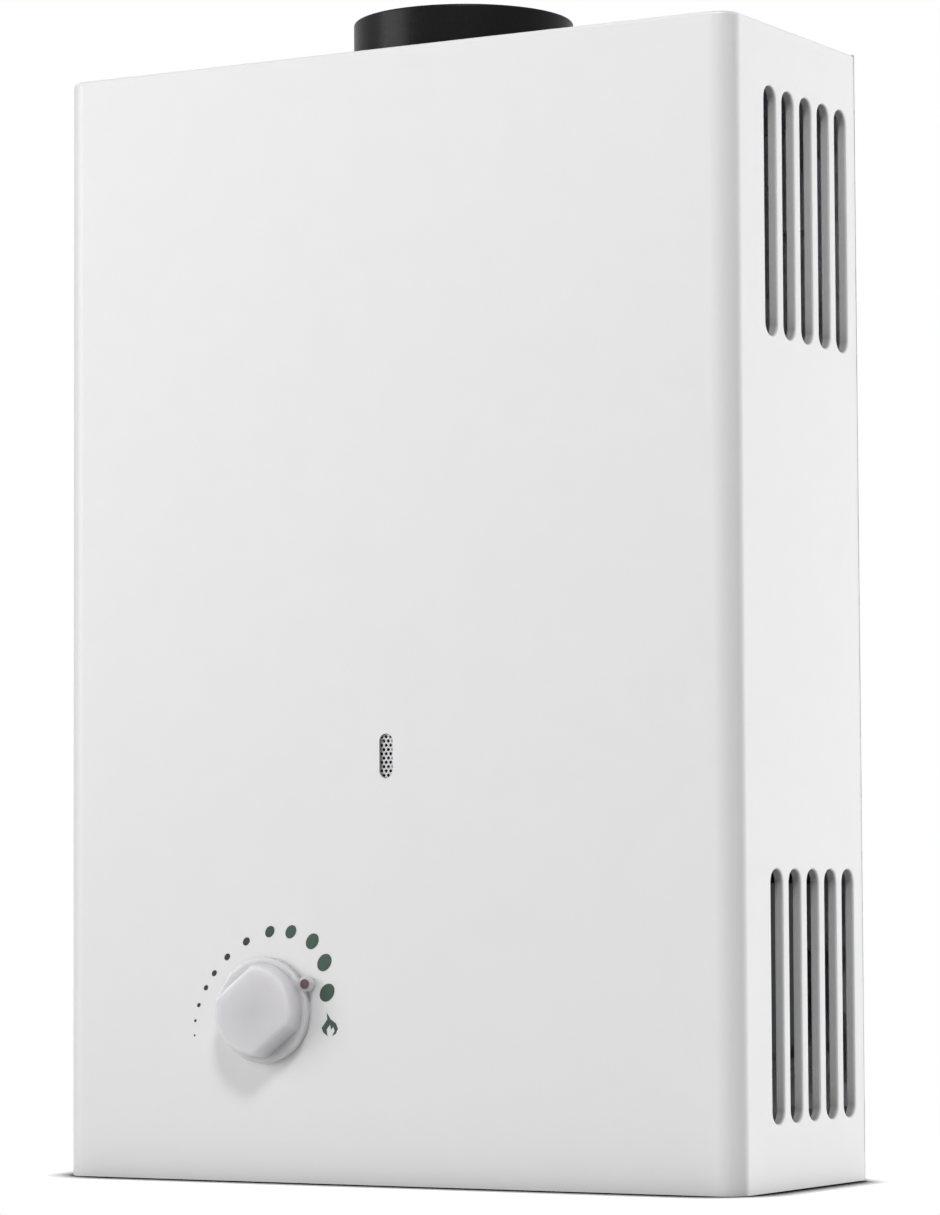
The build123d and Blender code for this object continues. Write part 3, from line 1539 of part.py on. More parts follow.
def gas_knob():
    """The plastic knob: a thin round skirt and a tall round cap with two sloping flats."""
    skirt = Pos(0, 0, skirt_height / 2) * Cylinder(skirt_radius, skirt_height)
    skirt = fillet(skirt.faces().sort_by(Axis.Z)[-1].edges(), 1.0)
    lobe = rod("Z", pointer_lobe_radius, pointer_place(), (0, skirt_height))
    lobe = fillet(lobe.faces().sort_by(Axis.Z)[-1].edges(), 0.6)
    cap_low = skirt_height - 1.4
    cap_middle = (cap_low + knob_height) / 2
    cap = Pos(0, 0, cap_middle) * Cone(cap_base_radius, cap_top_radius, knob_height - cap_low)
    flats = Polyline(
        (-flat_half_width_base, cap_low),
        (flat_half_width_base, cap_low),
        (flat_half_width_top, knob_height),
        (-flat_half_width_top, knob_height),
        (-flat_half_width_base, cap_low),
    )
    between = extrude(Plane.YZ * make_face(flats), skirt_radius, both=True)
    cap = cap & between
    cap = fillet(cap.faces().sort_by(Axis.Z)[-1].edges(), 1.4)
    knob = skirt + lobe + Rot(0, 0, grip_angle) * cap
    bore = Pos(0, 0, spindle_in_knob / 2) * Cylinder(spindle_radius + running_gap, spindle_in_knob)
    flat = block(
        (-2 * spindle_radius, 2 * spindle_radius),
        (spindle_radius / 2 + running_gap, 2 * spindle_radius),
        (-1, spindle_in_knob + 1),
    )
    knob = knob - (bore - flat)
    seat = (skirt_height - pointer_depth, knob_height)
    return knob_frame(knob - rod("Z", pointer_radius, pointer_place(), seat))


def knob_pointer():
    """The dark red dot set in the lobe of the knob's skirt."""
    span = (skirt_height - pointer_depth, skirt_height + 0.1)
    dot = rod("Z", pointer_radius, pointer_place(), span)
    return knob_frame(dot)


def dial_place(angle, radius):
    """The place on the panel of a mark at this angle and distance from the dial's middle."""
    turned = math.radians(angle)
    x = knob_x + dial_offset_x + radius * math.cos(turned)
    z = knob_z + dial_offset_z + radius * math.sin(turned)
    return x, z


def dial_marks():
    """The printed marks: twelve dots that grow, and a flame at the hottest end."""
    marks = []
    for angle, radius, size in zip(dial_angles, dial_radii, dial_dot_sizes):
        x, z = dial_place(angle, radius)
        long_half = size / 2 * dial_dot_stretch
        short_half = size / 2 / dial_dot_stretch
        dot = extrude(Rot(0, 0, dial_tilt) * Ellipse(long_half, short_half), dial_print)
        marks.append(Pos(x, front, z) * Rot(90, 0, 0) * dot)
    x, z = dial_place(flame_angle, flame_radius)
    w = flame_width / 2
    h = flame_height / 2
    outer = Polyline(
        (-0.35 * w, h), (0.1 * w, 0.45 * h), (0.75 * w, 0.1 * h), (w, -0.35 * h),
        (0.75 * w, -0.8 * h), (0.3 * w, -h), (0.6 * w, -0.55 * h), (0.45 * w, -0.2 * h),
        (0.15 * w, -0.45 * h), (0.05 * w, 0.0), (-0.4 * w, -0.45 * h), (-0.3 * w, -h),
        (-0.8 * w, -0.7 * h), (-w, -0.3 * h), (-0.6 * w, 0.1 * h), (-0.3 * w, 0.45 * h),
        (-0.35 * w, h),
    )
    flame = extrude(make_face(outer), dial_print)
    marks.append(Pos(x, front, z) * Rot(90, 0, 0) * flame)
    return marks


pieces = {
    "front_cover": front_cover(),
    "back_plate": back_plate(),
    "cover_screws": cover_screws(),
    "flue_collar": flue_collar(),
    "draft_hood": draft_hood(),
    "hood_screws": hood_screws(),
    "combustion_chamber": combustion_chamber(),
    "chamber_brackets": chamber_brackets(),
    "exchanger_fins": exchanger_fins(),
    "exchanger_tubes": exchanger_tubes(),
    "coil_pipe": coil_pipe(),
    "hot_pipe": hot_pipe(),
    "pipe_union": pipe_union(),
    "burner_blades": burner_blades(),
    "burner_frame": burner_frame(),
    "burner_manifold": burner_manifold(),
    "manifold_brackets": manifold_brackets(),
    "gas_jets": gas_jets(),
    "manifold_gasket": manifold_gasket(),
    "gas_valve_body": gas_valve_body(),
    "valve_bracket": valve_bracket(),
    "valve_bonnet": valve_bonnet(),
    "gas_spindle": gas_spindle(),
    "regulating_plug": regulating_plug(),
    "valve_end_cap": valve_end_cap(),
    "gas_valve_disc": gas_valve_disc(),
    "gas_valve_spring": gas_valve_spring(),
    "push_rod": push_rod(),
    "diaphragm_plate": diaphragm_plate(),
    "diaphragm": diaphragm(),
    "water_valve_cover": water_valve_cover(),
    "water_valve_body": water_valve_body(),
    "valve_screws": valve_screws(),
    "drain_plug": drain_plug(),
    "inlet_filter": inlet_filter(),
    "microswitch": microswitch(),
    "switch_lever": switch_lever(),
    "solenoid_can": solenoid_can(),
    "solenoid_plunger": solenoid_plunger(),
    "solenoid_spring": solenoid_spring(),
    "gas_inlet": nipple((gas_inlet_x, valve_y), inlet_boss_bottom),
    "cold_inlet": nipple((cold_inlet_x, valve_y), inlet_boss_bottom),
    "hot_outlet": nipple((hot_outlet_x, hot_outlet_y), hex_top),
    "connection_bracket": connection_bracket(),
    "battery_case": battery_case(),
    "battery_door": battery_door(),
    "door_pin": door_pin(),
    "battery_cells": battery_cells(),
    "battery_contacts": battery_contacts(),
    "igniter_box": igniter_box(),
    "ignition_electrode": ignition_electrode(),
    "flame_sensor": flame_sensor(),
    "ignition_lead": ignition_lead(),
    "control_leads": control_leads(),
    "overheat_thermostat": overheat_thermostat(),
    "sight_guard": sight_guard(),
    "gas_knob": gas_knob(),
    "knob_pointer": knob_pointer(),
    "dial_marks": dial_marks(),
}

os.makedirs("parts", exist_ok=True)
for name, shape in pieces.items():
    if isinstance(shape, list):
        shape = Compound(children=[Solid(item.solids()[0].wrapped) for item in shape])
    export_step(shape, "parts/" + name + ".step")
print(len(pieces), "pieces written")
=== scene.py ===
import math

import bmesh
import bpy
from mathutils import Matrix, Vector


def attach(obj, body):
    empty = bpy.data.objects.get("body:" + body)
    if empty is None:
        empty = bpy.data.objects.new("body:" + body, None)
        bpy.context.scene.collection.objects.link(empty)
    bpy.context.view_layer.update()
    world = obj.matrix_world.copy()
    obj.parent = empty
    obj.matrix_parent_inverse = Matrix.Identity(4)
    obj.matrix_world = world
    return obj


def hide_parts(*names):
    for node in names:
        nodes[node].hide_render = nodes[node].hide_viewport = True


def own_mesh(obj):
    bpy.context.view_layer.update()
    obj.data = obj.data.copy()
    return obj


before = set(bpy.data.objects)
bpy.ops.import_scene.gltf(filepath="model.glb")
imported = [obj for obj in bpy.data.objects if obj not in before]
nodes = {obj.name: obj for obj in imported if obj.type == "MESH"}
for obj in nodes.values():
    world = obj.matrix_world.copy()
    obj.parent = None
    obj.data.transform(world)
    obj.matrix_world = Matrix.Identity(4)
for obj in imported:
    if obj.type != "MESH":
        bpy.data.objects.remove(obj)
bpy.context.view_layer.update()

# The place where the heater is photographed: it stands on its bottom edge on a plain pale
# floor, seen a little from its right and from low down, under wide soft lamps.
camera_place = Vector((0.88638, -1.59641, 0.11076))
camera_yaw, camera_pitch, camera_roll = (math.radians(a) for a in (29.727, 3.664, -0.274))
ahead = Vector((
    -math.sin(camera_yaw) * math.cos(camera_pitch),
    math.cos(camera_yaw) * math.cos(camera_pitch),
    math.sin(camera_pitch),
))
level = Vector((math.cos(camera_yaw), math.sin(camera_yaw), 0))
upward = level.cross(ahead)
across = math.cos(camera_roll) * level + math.sin(camera_roll) * upward
upright = math.cos(camera_roll) * upward - math.sin(camera_roll) * level
film_width, focal_pixels, picture_pixels = 36.0, 4495.18, 1215
lens = bpy.data.cameras.new("camera")
lens.sensor_width = film_width
lens.lens = focal_pixels / picture_pixels * film_width
camera = bpy.data.objects.new("camera", lens)
camera.matrix_world = Matrix.Translation(camera_place) @ Matrix(
    (across, upright, -ahead)
).transposed().to_4x4()
bpy.context.scene.collection.objects.link(camera)
bpy.context.scene.camera = camera
bpy.context.scene.view_settings.view_transform = "Standard"


def lamp(name, place, aim, size, watts, mirrored=True):
    """A rectangular soft lamp that looks at a point, and that gloss mirrors or not."""
    light = bpy.data.lights.new(name, "AREA")
    light.shape = "RECTANGLE"
    light.size, light.size_y = size
    light.energy = watts
    thing = bpy.data.objects.new(name, light)
    thing.visible_glossy = mirrored
    turn = (Vector(aim) - Vector(place)).to_track_quat("-Z", "Y")
    thing.matrix_world = Matrix.Translation(place) @ turn.to_matrix().to_4x4()
    bpy.context.scene.collection.objects.link(thing)


# A wide lamp stands in front on the left, one beside the wall grazes the vented side without
# showing in its gloss, and a small one high on the right picks out the knob.
lamp("front_left_softbox", place=(-1.9, -1.7, 0.72), aim=(0, -0.06, 0.22), size=(1.4, 2.0), watts=33.5)
lamp(
    "right_softbox", place=(1.04, 2.39, 0.3), aim=(0.15, -0.055, 0.2), size=(0.6, 0.6), watts=102,
    mirrored=False,
)
lamp("upper_right_lamp", place=(0.7, -1.2, 1.75), aim=(-0.05, -0.11, 0.07), size=(0.4, 0.4), watts=19)


def feed(net, socket, given):
    """Gives a socket a fixed value or the output of a node."""
    if isinstance(given, bpy.types.NodeSocket):
        net.links.new(given, socket)
    else:
        socket.default_value = given


def blended(net, amount, first, second, how="MIX"):
    """The colour between two, each given as a colour or as the output of a node."""
    mixer = net.nodes.new("ShaderNodeMix")
    mixer.data_type = "RGBA"
    mixer.blend_type = how
    for socket, given in zip((mixer.inputs[0], mixer.inputs[6], mixer.inputs[7]), (amount, first, second)):
        feed(net, socket, given)
    return mixer.outputs[2]


def reckoned(net, how, *terms):
    """The result of a sum, its terms given as numbers or as the outputs of nodes."""
    step = net.nodes.new("ShaderNodeMath")
    step.operation = how
    for socket, term in zip(step.inputs, terms):
        feed(net, socket, term)
    return step.outputs[0]


def ranged(net, given, low, high, to_low=0.0, to_high=1.0):
    """A value that runs from low to high, taken to one that runs from to_low to to_high."""
    run = net.nodes.new("ShaderNodeMapRange")
    feed(net, run.inputs["Value"], given)
    for name, end in (("From Min", low), ("From Max", high), ("To Min", to_low), ("To Max", to_high)):
        feed(net, run.inputs[name], end)
    return run.outputs[0]


# The air is white to the eye and through gaps, less so where gloss mirrors it, and dim as light.
mirrored_share, dim_air, white_air = 0.6, 0.24, 1.0
room = bpy.data.worlds.new("room")
bpy.context.scene.world = room
room.use_nodes = True
air = room.node_tree
seen = air.nodes.new("ShaderNodeLightPath")
shown = reckoned(air, "MAXIMUM", seen.outputs["Is Camera Ray"], seen.outputs["Is Transmission Ray"])
whiteness = reckoned(air, "MULTIPLY_ADD", seen.outputs["Is Glossy Ray"], mirrored_share, shown)
air_level = ranged(air, whiteness, 0.0, 1.0, dim_air, white_air)
air.links.new(air_level, air.nodes["Background"].inputs["Strength"])
air.nodes["Background"].inputs["Color"].default_value = (1, 1, 1, 1)

# The floor is pale matt paper. A contact shadow is painted on it, dark where the heater stands,
# and it fades into the white air further off, but it lights the heater as plain paper does.
floor_half, floor_drop = 6.0, 0.0002
# The dark tone here is the painted contact shadow's colour; the line below sets how far that painted shadow
# reaches and where it fades.
paper_tone, painted_shadow_tone, paper_glow = (0.72, 0.72, 0.72, 1), (0.004, 0.004, 0.004, 1), 0.9
painted_shadow_reach, painted_shadow_dark, painted_shadow_clear = 0.022, 0.6, 0.95
fade_from, fade_to = 0.18, 0.3
floor_mesh = bpy.data.meshes.new("floor")
shape = bmesh.new()
bmesh.ops.create_grid(shape, x_segments=1, y_segments=1, size=floor_half)
bmesh.ops.translate(shape, verts=shape.verts, vec=(0, 0, -floor_drop))
shape.to_mesh(floor_mesh)
shape.free()
floor = bpy.data.objects.new("floor", floor_mesh)
bpy.context.scene.collection.objects.link(floor)
paper = bpy.data.materials.new("pale_floor")
paper.use_nodes = True
tree = paper.node_tree
matt = tree.nodes["Principled BSDF"]
matt.inputs["Roughness"].default_value = 1.0
matt.inputs["Specular IOR Level"].default_value = 0.0
# Painted shadow: ambient occlusion darkens the paper's colour and its glow to near black close round the
# heater's foot.
near = tree.nodes.new("ShaderNodeAmbientOcclusion")
near.inputs["Distance"].default_value = painted_shadow_reach
painted_contact_shadow = ranged(tree, near.outputs["AO"], painted_shadow_dark, painted_shadow_clear)
shade = blended(tree, painted_contact_shadow, painted_shadow_tone, paper_tone)
tree.links.new(shade, matt.inputs["Base Color"])
glow = tree.nodes.new("ShaderNodeEmission")
glow.inputs["Strength"].default_value = paper_glow
tree.links.new(shade, glow.inputs["Color"])
both = tree.nodes.new("ShaderNodeAddShader")
tree.links.new(matt.outputs[0], both.inputs[0])
tree.links.new(glow.outputs[0], both.inputs[1])
far = tree.nodes.new("ShaderNodeEmission")
far.inputs["Color"].default_value = (1, 1, 1, 1)
spot = tree.nodes.new("ShaderNodeTexCoord")
distance = tree.nodes.new("ShaderNodeVectorMath")
distance.operation = "LENGTH"
tree.links.new(spot.outputs["Object"], distance.inputs[0])
fade = ranged(tree, distance.outputs["Value"], fade_from, fade_to)
fade.node.interpolation_type = "SMOOTHSTEP"
reach = tree.nodes.new("ShaderNodeMixShader")
tree.links.new(fade, reach.inputs["Fac"])
tree.links.new(both.outputs[0], reach.inputs[1])
tree.links.new(far.outputs[0], reach.inputs[2])
eye = tree.nodes.new("ShaderNodeLightPath")
look = reckoned(tree, "MAXIMUM", eye.outputs["Is Camera Ray"], eye.outputs["Is Glossy Ray"])
choice = tree.nodes.new("ShaderNodeMixShader")
tree.links.new(look, choice.inputs["Fac"])
tree.links.new(matt.outputs[0], choice.inputs[1])
tree.links.new(reach.outputs[0], choice.inputs[2])
tree.links.new(choice.outputs[0], tree.nodes["Material Output"].inputs["Surface"])
floor_mesh.materials.append(paper)

# The casing is one sheet of 0.8 mm steel, folded round its two front corners and over the top,
# with a return lip below. Its slots are punched with their rims drawn inwards, and it is powder
# coated in satin white, with shade painted darker into its nooks and slot rims. It hangs over the
# back plate and is screwed to it.
half_width, front, back, height = 0.150, -0.110, -0.0008, 0.440
sheet = 0.0008
corner, top_bend = 0.009, 0.0016
lip_low, lip_width = 0.003, 0.014
slot_radius, slot_straight, slot_pitch, slot_count = 0.005, 0.085, 0.0156, 5
slot_middle_y, slot_heights = -0.045, (0.0725, 0.3685)
rim_depth, rim_nose, rim_round = 0.0034, 0.0002, 0.00012
window_radius, window_straight, window_z = 0.003, 0.0113, 0.1645
knob_x, knob_z, spindle_hole_radius = -0.0545, 0.0665, 0.0065
flue_y, notch_radius, notch_run = -0.047, 0.046, 0.06
past_wall, past_mouth, past_edge = 0.01, 0.012, 0.02
punch_start, punch_depth, punch_reach = 0.001, 0.003, 0.004
# The next line sets the shade painted into the casing's nooks: how far it looks, where it starts and ends,
# and its dark tone.
painted_shade_reach, painted_shade_dark, painted_shade_clear, painted_shade_tone = 0.03, 0.66, 1.0, (0.07, 0.069, 0.067, 1)
hair = 0.00001


def noise(net, place, scale, detail):
    """A soft random pattern over a place, from 0 to 1."""
    cloud = net.nodes.new("ShaderNodeTexNoise")
    cloud.inputs["Scale"].default_value = scale
    cloud.inputs["Detail"].default_value = detail
    net.links.new(place, cloud.inputs["Vector"])
    return cloud.outputs["Fac"]


def surface(name, colour, rough, metal=0.0, grain=0.002, depth=0.0, vary=0.06, sweep=0.05,
            run=(1, 1, 1), edge=0.0):
    """A finish with a fine grain: its colour varies a little, its roughness more, its height least.
    grain, depth and edge are the grain's size, its height and the round of the edges, in metres."""
    material = bpy.data.materials.new(name)
    material.use_nodes = True
    net = material.node_tree
    skin = net.nodes["Principled BSDF"]
    skin.inputs["Metallic"].default_value = metal
    where = net.nodes.new("ShaderNodeTexCoord")
    stretch = net.nodes.new("ShaderNodeMapping")
    stretch.inputs["Scale"].default_value = [1 / grain * r for r in run]
    net.links.new(where.outputs["Object"], stretch.inputs["Vector"])
    fine = noise(net, stretch.outputs[0], scale=1.0, detail=4.0)
    broad = noise(net, stretch.outputs[0], scale=0.06, detail=3.0)
    calm, lively = 0.3, 0.7
    tone = net.nodes.new("ShaderNodeValToRGB")
    tone.name = "tone"
    for stop, place, change in zip(tone.color_ramp.elements, (calm, lively), (1 - vary, 1 + vary)):
        stop.position = place
        stop.color = [min(1, c * change) for c in colour] + [1]
    net.links.new(broad, tone.inputs["Fac"])
    net.links.new(tone.outputs["Color"], skin.inputs["Base Color"])
    worn = ranged(net, fine, calm, lively, max(0.02, rough - sweep), min(1.0, rough + sweep))
    net.links.new(worn, skin.inputs["Roughness"])
    bump = net.nodes.new("ShaderNodeBump")
    bump.inputs["Distance"].default_value = max(depth, 0.000001)
    bump.inputs["Strength"].default_value = 1.0
    net.links.new(fine, bump.inputs["Height"])
    if edge > 0:
        soft = net.nodes.new("ShaderNodeBevel")
        soft.samples = 4
        soft.inputs["Radius"].default_value = edge
        net.links.new(soft.outputs[0], bump.inputs["Normal"])
    if depth > 0 or edge > 0:
        net.links.new(bump.outputs[0], skin.inputs["Normal"])
    return material


def rounded(shape, edges, width, steps):
    """Rounds edges of a shape."""
    bmesh.ops.bevel(
        shape, geom=edges, offset=width, offset_type="OFFSET", segments=steps,
        profile=0.5, affect="EDGES", material=-1,
    )


def folded_box(half, front_y, back_y, low, high, round_corner, round_top=0.0):
    """A box with its two front corners rounded and, where asked, its top edge as well."""
    box = bmesh.new()
    middle = Vector((0, (front_y + back_y) / 2, (low + high) / 2))
    size = Matrix.Diagonal((2 * half, back_y - front_y, high - low, 1))
    bmesh.ops.create_cube(box, size=1.0, matrix=Matrix.Translation(middle) @ size)
    corners = [
        e for e in box.edges
        if all(v.co.y < middle.y for v in e.verts) and abs(e.verts[0].co.z - e.verts[1].co.z) > hair
    ]
    if round_corner > 0:
        rounded(box, corners, round_corner, steps=14)
    if round_top > 0:
        over = [
            e for e in box.edges
            if all(v.co.z > high - hair for v in e.verts)
            and not all(v.co.y > back_y - hair for v in e.verts)
        ]
        rounded(box, over, round_top, steps=5)
    return box


def slot_ring(shape, radius, straight, filled):
    """The outline of a slot: round ends and a straight part between them."""
    steps = 40
    ring = bmesh.ops.create_circle(
        shape, cap_ends=filled, segments=steps, radius=radius,
        matrix=Matrix.Rotation(math.pi / steps, 4, "Z"),
    )["verts"]
    for side in (-1, 1):
        end = [v for v in ring if v.co.y * side > 0]
        bmesh.ops.translate(shape, verts=end, vec=(0, side * straight / 2, 0))
    return ring


def ring_edges(ring):
    """The edges of a ring of points, each once."""
    return list(dict.fromkeys(e for v in ring for e in v.link_edges))


def extruded(shape, rise):
    """Draws a flat shape out into a solid."""
    grown = bmesh.ops.extrude_face_region(shape, geom=shape.faces[:])["geom"]
    top = [v for v in grown if isinstance(v, bmesh.types.BMVert)]
    bmesh.ops.translate(shape, verts=top, vec=(0, 0, rise))


def slot_bar(radius, straight, reach, place):
    """A bar with the outline of a slot."""
    solid = bmesh.new()
    slot_ring(solid, radius, straight, filled=True)
    extruded(solid, reach)
    bmesh.ops.recalc_face_normals(solid, faces=solid.faces)
    bmesh.ops.transform(solid, verts=solid.verts, matrix=place)
    return solid


def drawn_rim(profile, straight):
    """The rim drawn in round a slot: one loop for each radius and depth, joined in turn."""
    rim = bmesh.new()
    loops = []
    for radius, drop in profile:
        ring = slot_ring(rim, radius, straight, filled=False)
        bmesh.ops.translate(rim, verts=ring, vec=(0, 0, -drop))
        loops.append(ring_edges(ring))
    for one, other in zip(loops, loops[1:]):
        bmesh.ops.bridge_loops(rim, edges=one + other)
    return rim


def add(whole, part, place=None):
    """Adds a part's mesh to a larger shape."""
    mesh = bpy.data.meshes.new("part")
    part.to_mesh(mesh)
    part.free()
    if place is not None:
        mesh.transform(place)
    whole.from_mesh(mesh)


def cut(blank, tools):
    """Cuts the tools out of a blank, one after another, as punches do, and gives what is left."""
    things = []
    for solid in [blank] + tools:
        mesh = bpy.data.meshes.new("blank")
        solid.to_mesh(mesh)
        solid.free()
        things.append(bpy.data.objects.new("blank", mesh))
        bpy.context.scene.collection.objects.link(things[-1])
    for tool in things[1:]:
        punch = things[0].modifiers.new("punch", "BOOLEAN")
        punch.operation = "DIFFERENCE"
        punch.solver = "EXACT"
        punch.object = tool
    ready = things[0].evaluated_get(bpy.context.evaluated_depsgraph_get())
    left = bpy.data.meshes.new_from_object(ready)
    result = bmesh.new()
    result.from_mesh(left)
    for thing in things:
        bpy.data.objects.remove(thing)
    return result


def fit(name, shape, materials, body, stands_for, crease=32):
    """Makes a shape a piece of the heater: smooth but for its sharp edges, and on its body."""
    mesh = bpy.data.meshes.new(name)
    shape.to_mesh(mesh)
    shape.free()
    for material in materials:
        mesh.materials.append(material)
    mesh.shade_smooth()
    mesh.set_sharp_from_angle(angle=math.radians(crease))
    piece = bpy.data.objects.new(name, mesh)
    bpy.context.scene.collection.objects.link(piece)
    even = piece.modifiers.new("even_shading", "WEIGHTED_NORMAL")
    even.keep_sharp = True
    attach(piece, body)
    if stands_for:
        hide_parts(stands_for)
    return piece


blank = folded_box(half_width, front, back, 0.0, height, corner, top_bend)
above_lip = folded_box(
    half_width - sheet, front + sheet, past_wall, lip_low + sheet, height - sheet,
    corner - sheet, top_bend - sheet,
)
below_lip = folded_box(half_width - sheet, front + sheet, past_wall, -past_wall, lip_low, corner - sheet)
mouth = folded_box(half_width - lip_width, front + lip_width, past_mouth, -past_edge, past_edge, 0.0)
slots = bmesh.new()
rims = bmesh.new()
bend = [math.radians(a) for a in range(0, 91, 18)]
profile = [(slot_radius + sheet * (1 - math.sin(a)), sheet * (1 - math.cos(a))) for a in bend]
profile += [(slot_radius, rim_depth - rim_nose), (slot_radius + rim_round, rim_depth)]
profile += [(slot_radius + sheet - rim_round, rim_depth), (slot_radius + sheet, rim_depth - rim_nose)]
profile += [(slot_radius + sheet, sheet)]
rim = drawn_rim(profile, slot_straight)
bmesh.ops.recalc_face_normals(rim, faces=rim.faces)
outward = Matrix(((0, 0, 1, 0), (1, 0, 0, 0), (0, 1, 0, 0), (0, 0, 0, 1)))
inward = Matrix.Translation((0, 0, -punch_depth))
for side_turn in (0.0, math.pi):
    about = Matrix.Translation((0, slot_middle_y, 0)) @ Matrix.Rotation(side_turn, 4, "Z")
    for z in slot_heights:
        for index in range(slot_count):
            y = (index - slot_count // 2) * slot_pitch
            place = about @ Matrix.Translation((half_width, y, z)) @ outward
            add(slots, slot_bar(slot_radius + sheet, slot_straight, punch_reach, place @ inward))
            add(rims, rim.copy(), place)
rim.free()
facing = Matrix(((1, 0, 0, 0), (0, 0, 1, 0), (0, 1, 0, 0), (0, 0, 0, 1)))
window_place = Matrix.Translation((0, front - punch_start, window_z)) @ facing
window = slot_bar(window_radius, window_straight, punch_reach, window_place)
spindle_place = Matrix.Translation((knob_x, front - punch_start, knob_z)) @ facing
spindle_hole = slot_bar(spindle_hole_radius, 0.0, punch_reach, spindle_place)
for small in (window, spindle_hole):
    bmesh.ops.recalc_face_normals(small, faces=small.faces)
notch = bmesh.new()
bmesh.ops.create_circle(notch, cap_ends=True, segments=96, radius=notch_radius)
bmesh.ops.translate(notch, verts=[v for v in notch.verts if v.co.y > hair], vec=(0, notch_run, 0))
extruded(notch, past_wall)
bmesh.ops.translate(notch, verts=notch.verts, vec=(0, flue_y, height - past_wall / 2))
bmesh.ops.recalc_face_normals(notch, faces=notch.faces)
casing = cut(blank, [above_lip, below_lip, mouth, slots, window, spindle_hole, notch])
add(casing, rims)
white_enamel = surface(
    "white_enamel", (0.80, 0.80, 0.803), 0.36, grain=0.0011, depth=0.00001, vary=0.006, sweep=0.04
)
coated = white_enamel.node_tree
# Painted shade: where ambient occlusion finds a nook, a slot's drawn rim or the ground round the knob, the
# enamel's colour is darkened towards a near black.
painted_shade_occlusion = coated.nodes.new("ShaderNodeAmbientOcclusion")
painted_shade_occlusion.inputs["Distance"].default_value = painted_shade_reach
painted_shade_occlusion.only_local = True
painted_shade_amount = ranged(coated, painted_shade_occlusion.outputs["AO"], painted_shade_dark, painted_shade_clear)
tone_with_painted_shade = blended(coated, painted_shade_amount, painted_shade_tone, coated.nodes["tone"].outputs["Color"])
coated.links.new(tone_with_painted_shade, coated.nodes["Principled BSDF"].inputs["Base Color"])
fit("casing", casing, [white_enamel], "heater", "front_cover")

# The back is a plate of galvanised sheet that hangs on the wall by its four holes. Two long beads
# are pressed into it to keep it flat, and its side flanges and corner tabs carry the casing.
wall_hole, hole_x, hole_heights = 0.003, 0.090, (0.030, 0.410)
bead_radius, bead_straight, bead_x, bead_middle = 0.0045, 0.30, 0.052, 0.22
bead_depth, bead_round = 0.00045, 0.0004
flange_reach, tab_reach, tab_width = 0.006, 0.016, 0.014
sunk, sheet_round = 0.0004, 0.0002


def spangled(name, colour, rough, cell=0.008, edge=0.0):
    """Galvanised sheet: flat crystals that differ in tone and gloss, with a fine grain on them."""
    dark, light, shinier, duller = 0.8, 1.08, 0.12, 0.14
    material = surface(name, colour, rough, 0.95, grain=0.0012, depth=0.000004, vary=0.03, edge=edge)
    net = material.node_tree
    skin = net.nodes["Principled BSDF"]
    where = net.nodes.new("ShaderNodeTexCoord")
    crystals = net.nodes.new("ShaderNodeTexVoronoi")
    crystals.inputs["Scale"].default_value = 1 / cell
    crystals.inputs["Randomness"].default_value = 1.0
    net.links.new(where.outputs["Object"], crystals.inputs["Vector"])
    pick = net.nodes.new("ShaderNodeSeparateColor")
    net.links.new(crystals.outputs["Color"], pick.inputs["Color"])
    tone = ranged(net, pick.outputs[0], 0.0, 1.0, dark, light)
    mixed = blended(net, 1.0, net.nodes["tone"].outputs["Color"], tone, "MULTIPLY")
    net.links.new(mixed, skin.inputs["Base Color"])
    gloss = ranged(net, pick.outputs[1], 0.0, 1.0, rough - shinier, rough + duller)
    net.links.new(gloss, skin.inputs["Roughness"])
    return material


def bar(x, y, z, soften=0.0):
    """A straight bar between its low and high X, Y and Z, with its edges broken."""
    block = bmesh.new()
    middle = [(pair[0] + pair[1]) / 2 for pair in (x, y, z)]
    size = [abs(pair[1] - pair[0]) for pair in (x, y, z)]
    bmesh.ops.create_cube(
        block, size=1.0, matrix=Matrix.Translation(middle) @ Matrix.Diagonal(size + [1])
    )
    if soften > 0:
        rounded(block, block.edges[:], soften, steps=2)
    return block


holes = bmesh.new()
beads = bmesh.new()
for x in (-hole_x, hole_x):
    for z in hole_heights:
        hole_place = Matrix.Translation((x, -punch_reach / 2, z)) @ facing
        add(holes, slot_bar(wall_hole, 0.0, punch_reach, hole_place))
for x in (-bead_x, bead_x):
    groove = slot_bar(bead_radius, bead_straight, 0.002, Matrix.Identity(4))
    low_rim = [e for e in groove.edges if all(v.co.z < hair for v in e.verts)]
    rounded(groove, low_rim, bead_round, steps=3)
    add(beads, groove, Matrix.Translation((x, -bead_depth, bead_middle)) @ facing)
for tool in (holes, beads):
    bmesh.ops.recalc_face_normals(tool, faces=tool.faces)
plate = cut(bar((-half_width, half_width), (back, 0.0), (0.0, height)), [holes, beads])
for side in (-1, 1):
    inside = side * (half_width - sheet)
    flange_x = sorted((inside, inside - side * sheet))
    flange_z = (lip_width, height - lip_width)
    add(plate, bar(flange_x, (back - flange_reach, back + sunk), flange_z, sheet_round))
    tab_x = sorted((inside - side * sheet, inside - side * tab_width))
    for tab_z in ((lip_low + sheet, lip_low + 2 * sheet), (height - 2 * sheet, height - sheet)):
        add(plate, bar(tab_x, (back - tab_reach, back + sunk), tab_z, sheet_round))
zinc_sheet = spangled("zinc_sheet", (0.60, 0.62, 0.64), 0.38)
fit("back_plate_pressed", plate, [zinc_sheet], "heater", "back_plate")

# Four pan head screws of bright zinc plated steel hold the casing to the tabs of the back
# plate, two from below and two from above. They are cold headed, with a cross recess.
pan_radius, pan_height, pan_shank, pan_length = 0.0036, 0.0016, 0.0018, 0.0088
pan_x, pan_y, upper_turn, lower_turn = 0.1422, -0.0088, (0.5, 9), (0.2, 5)


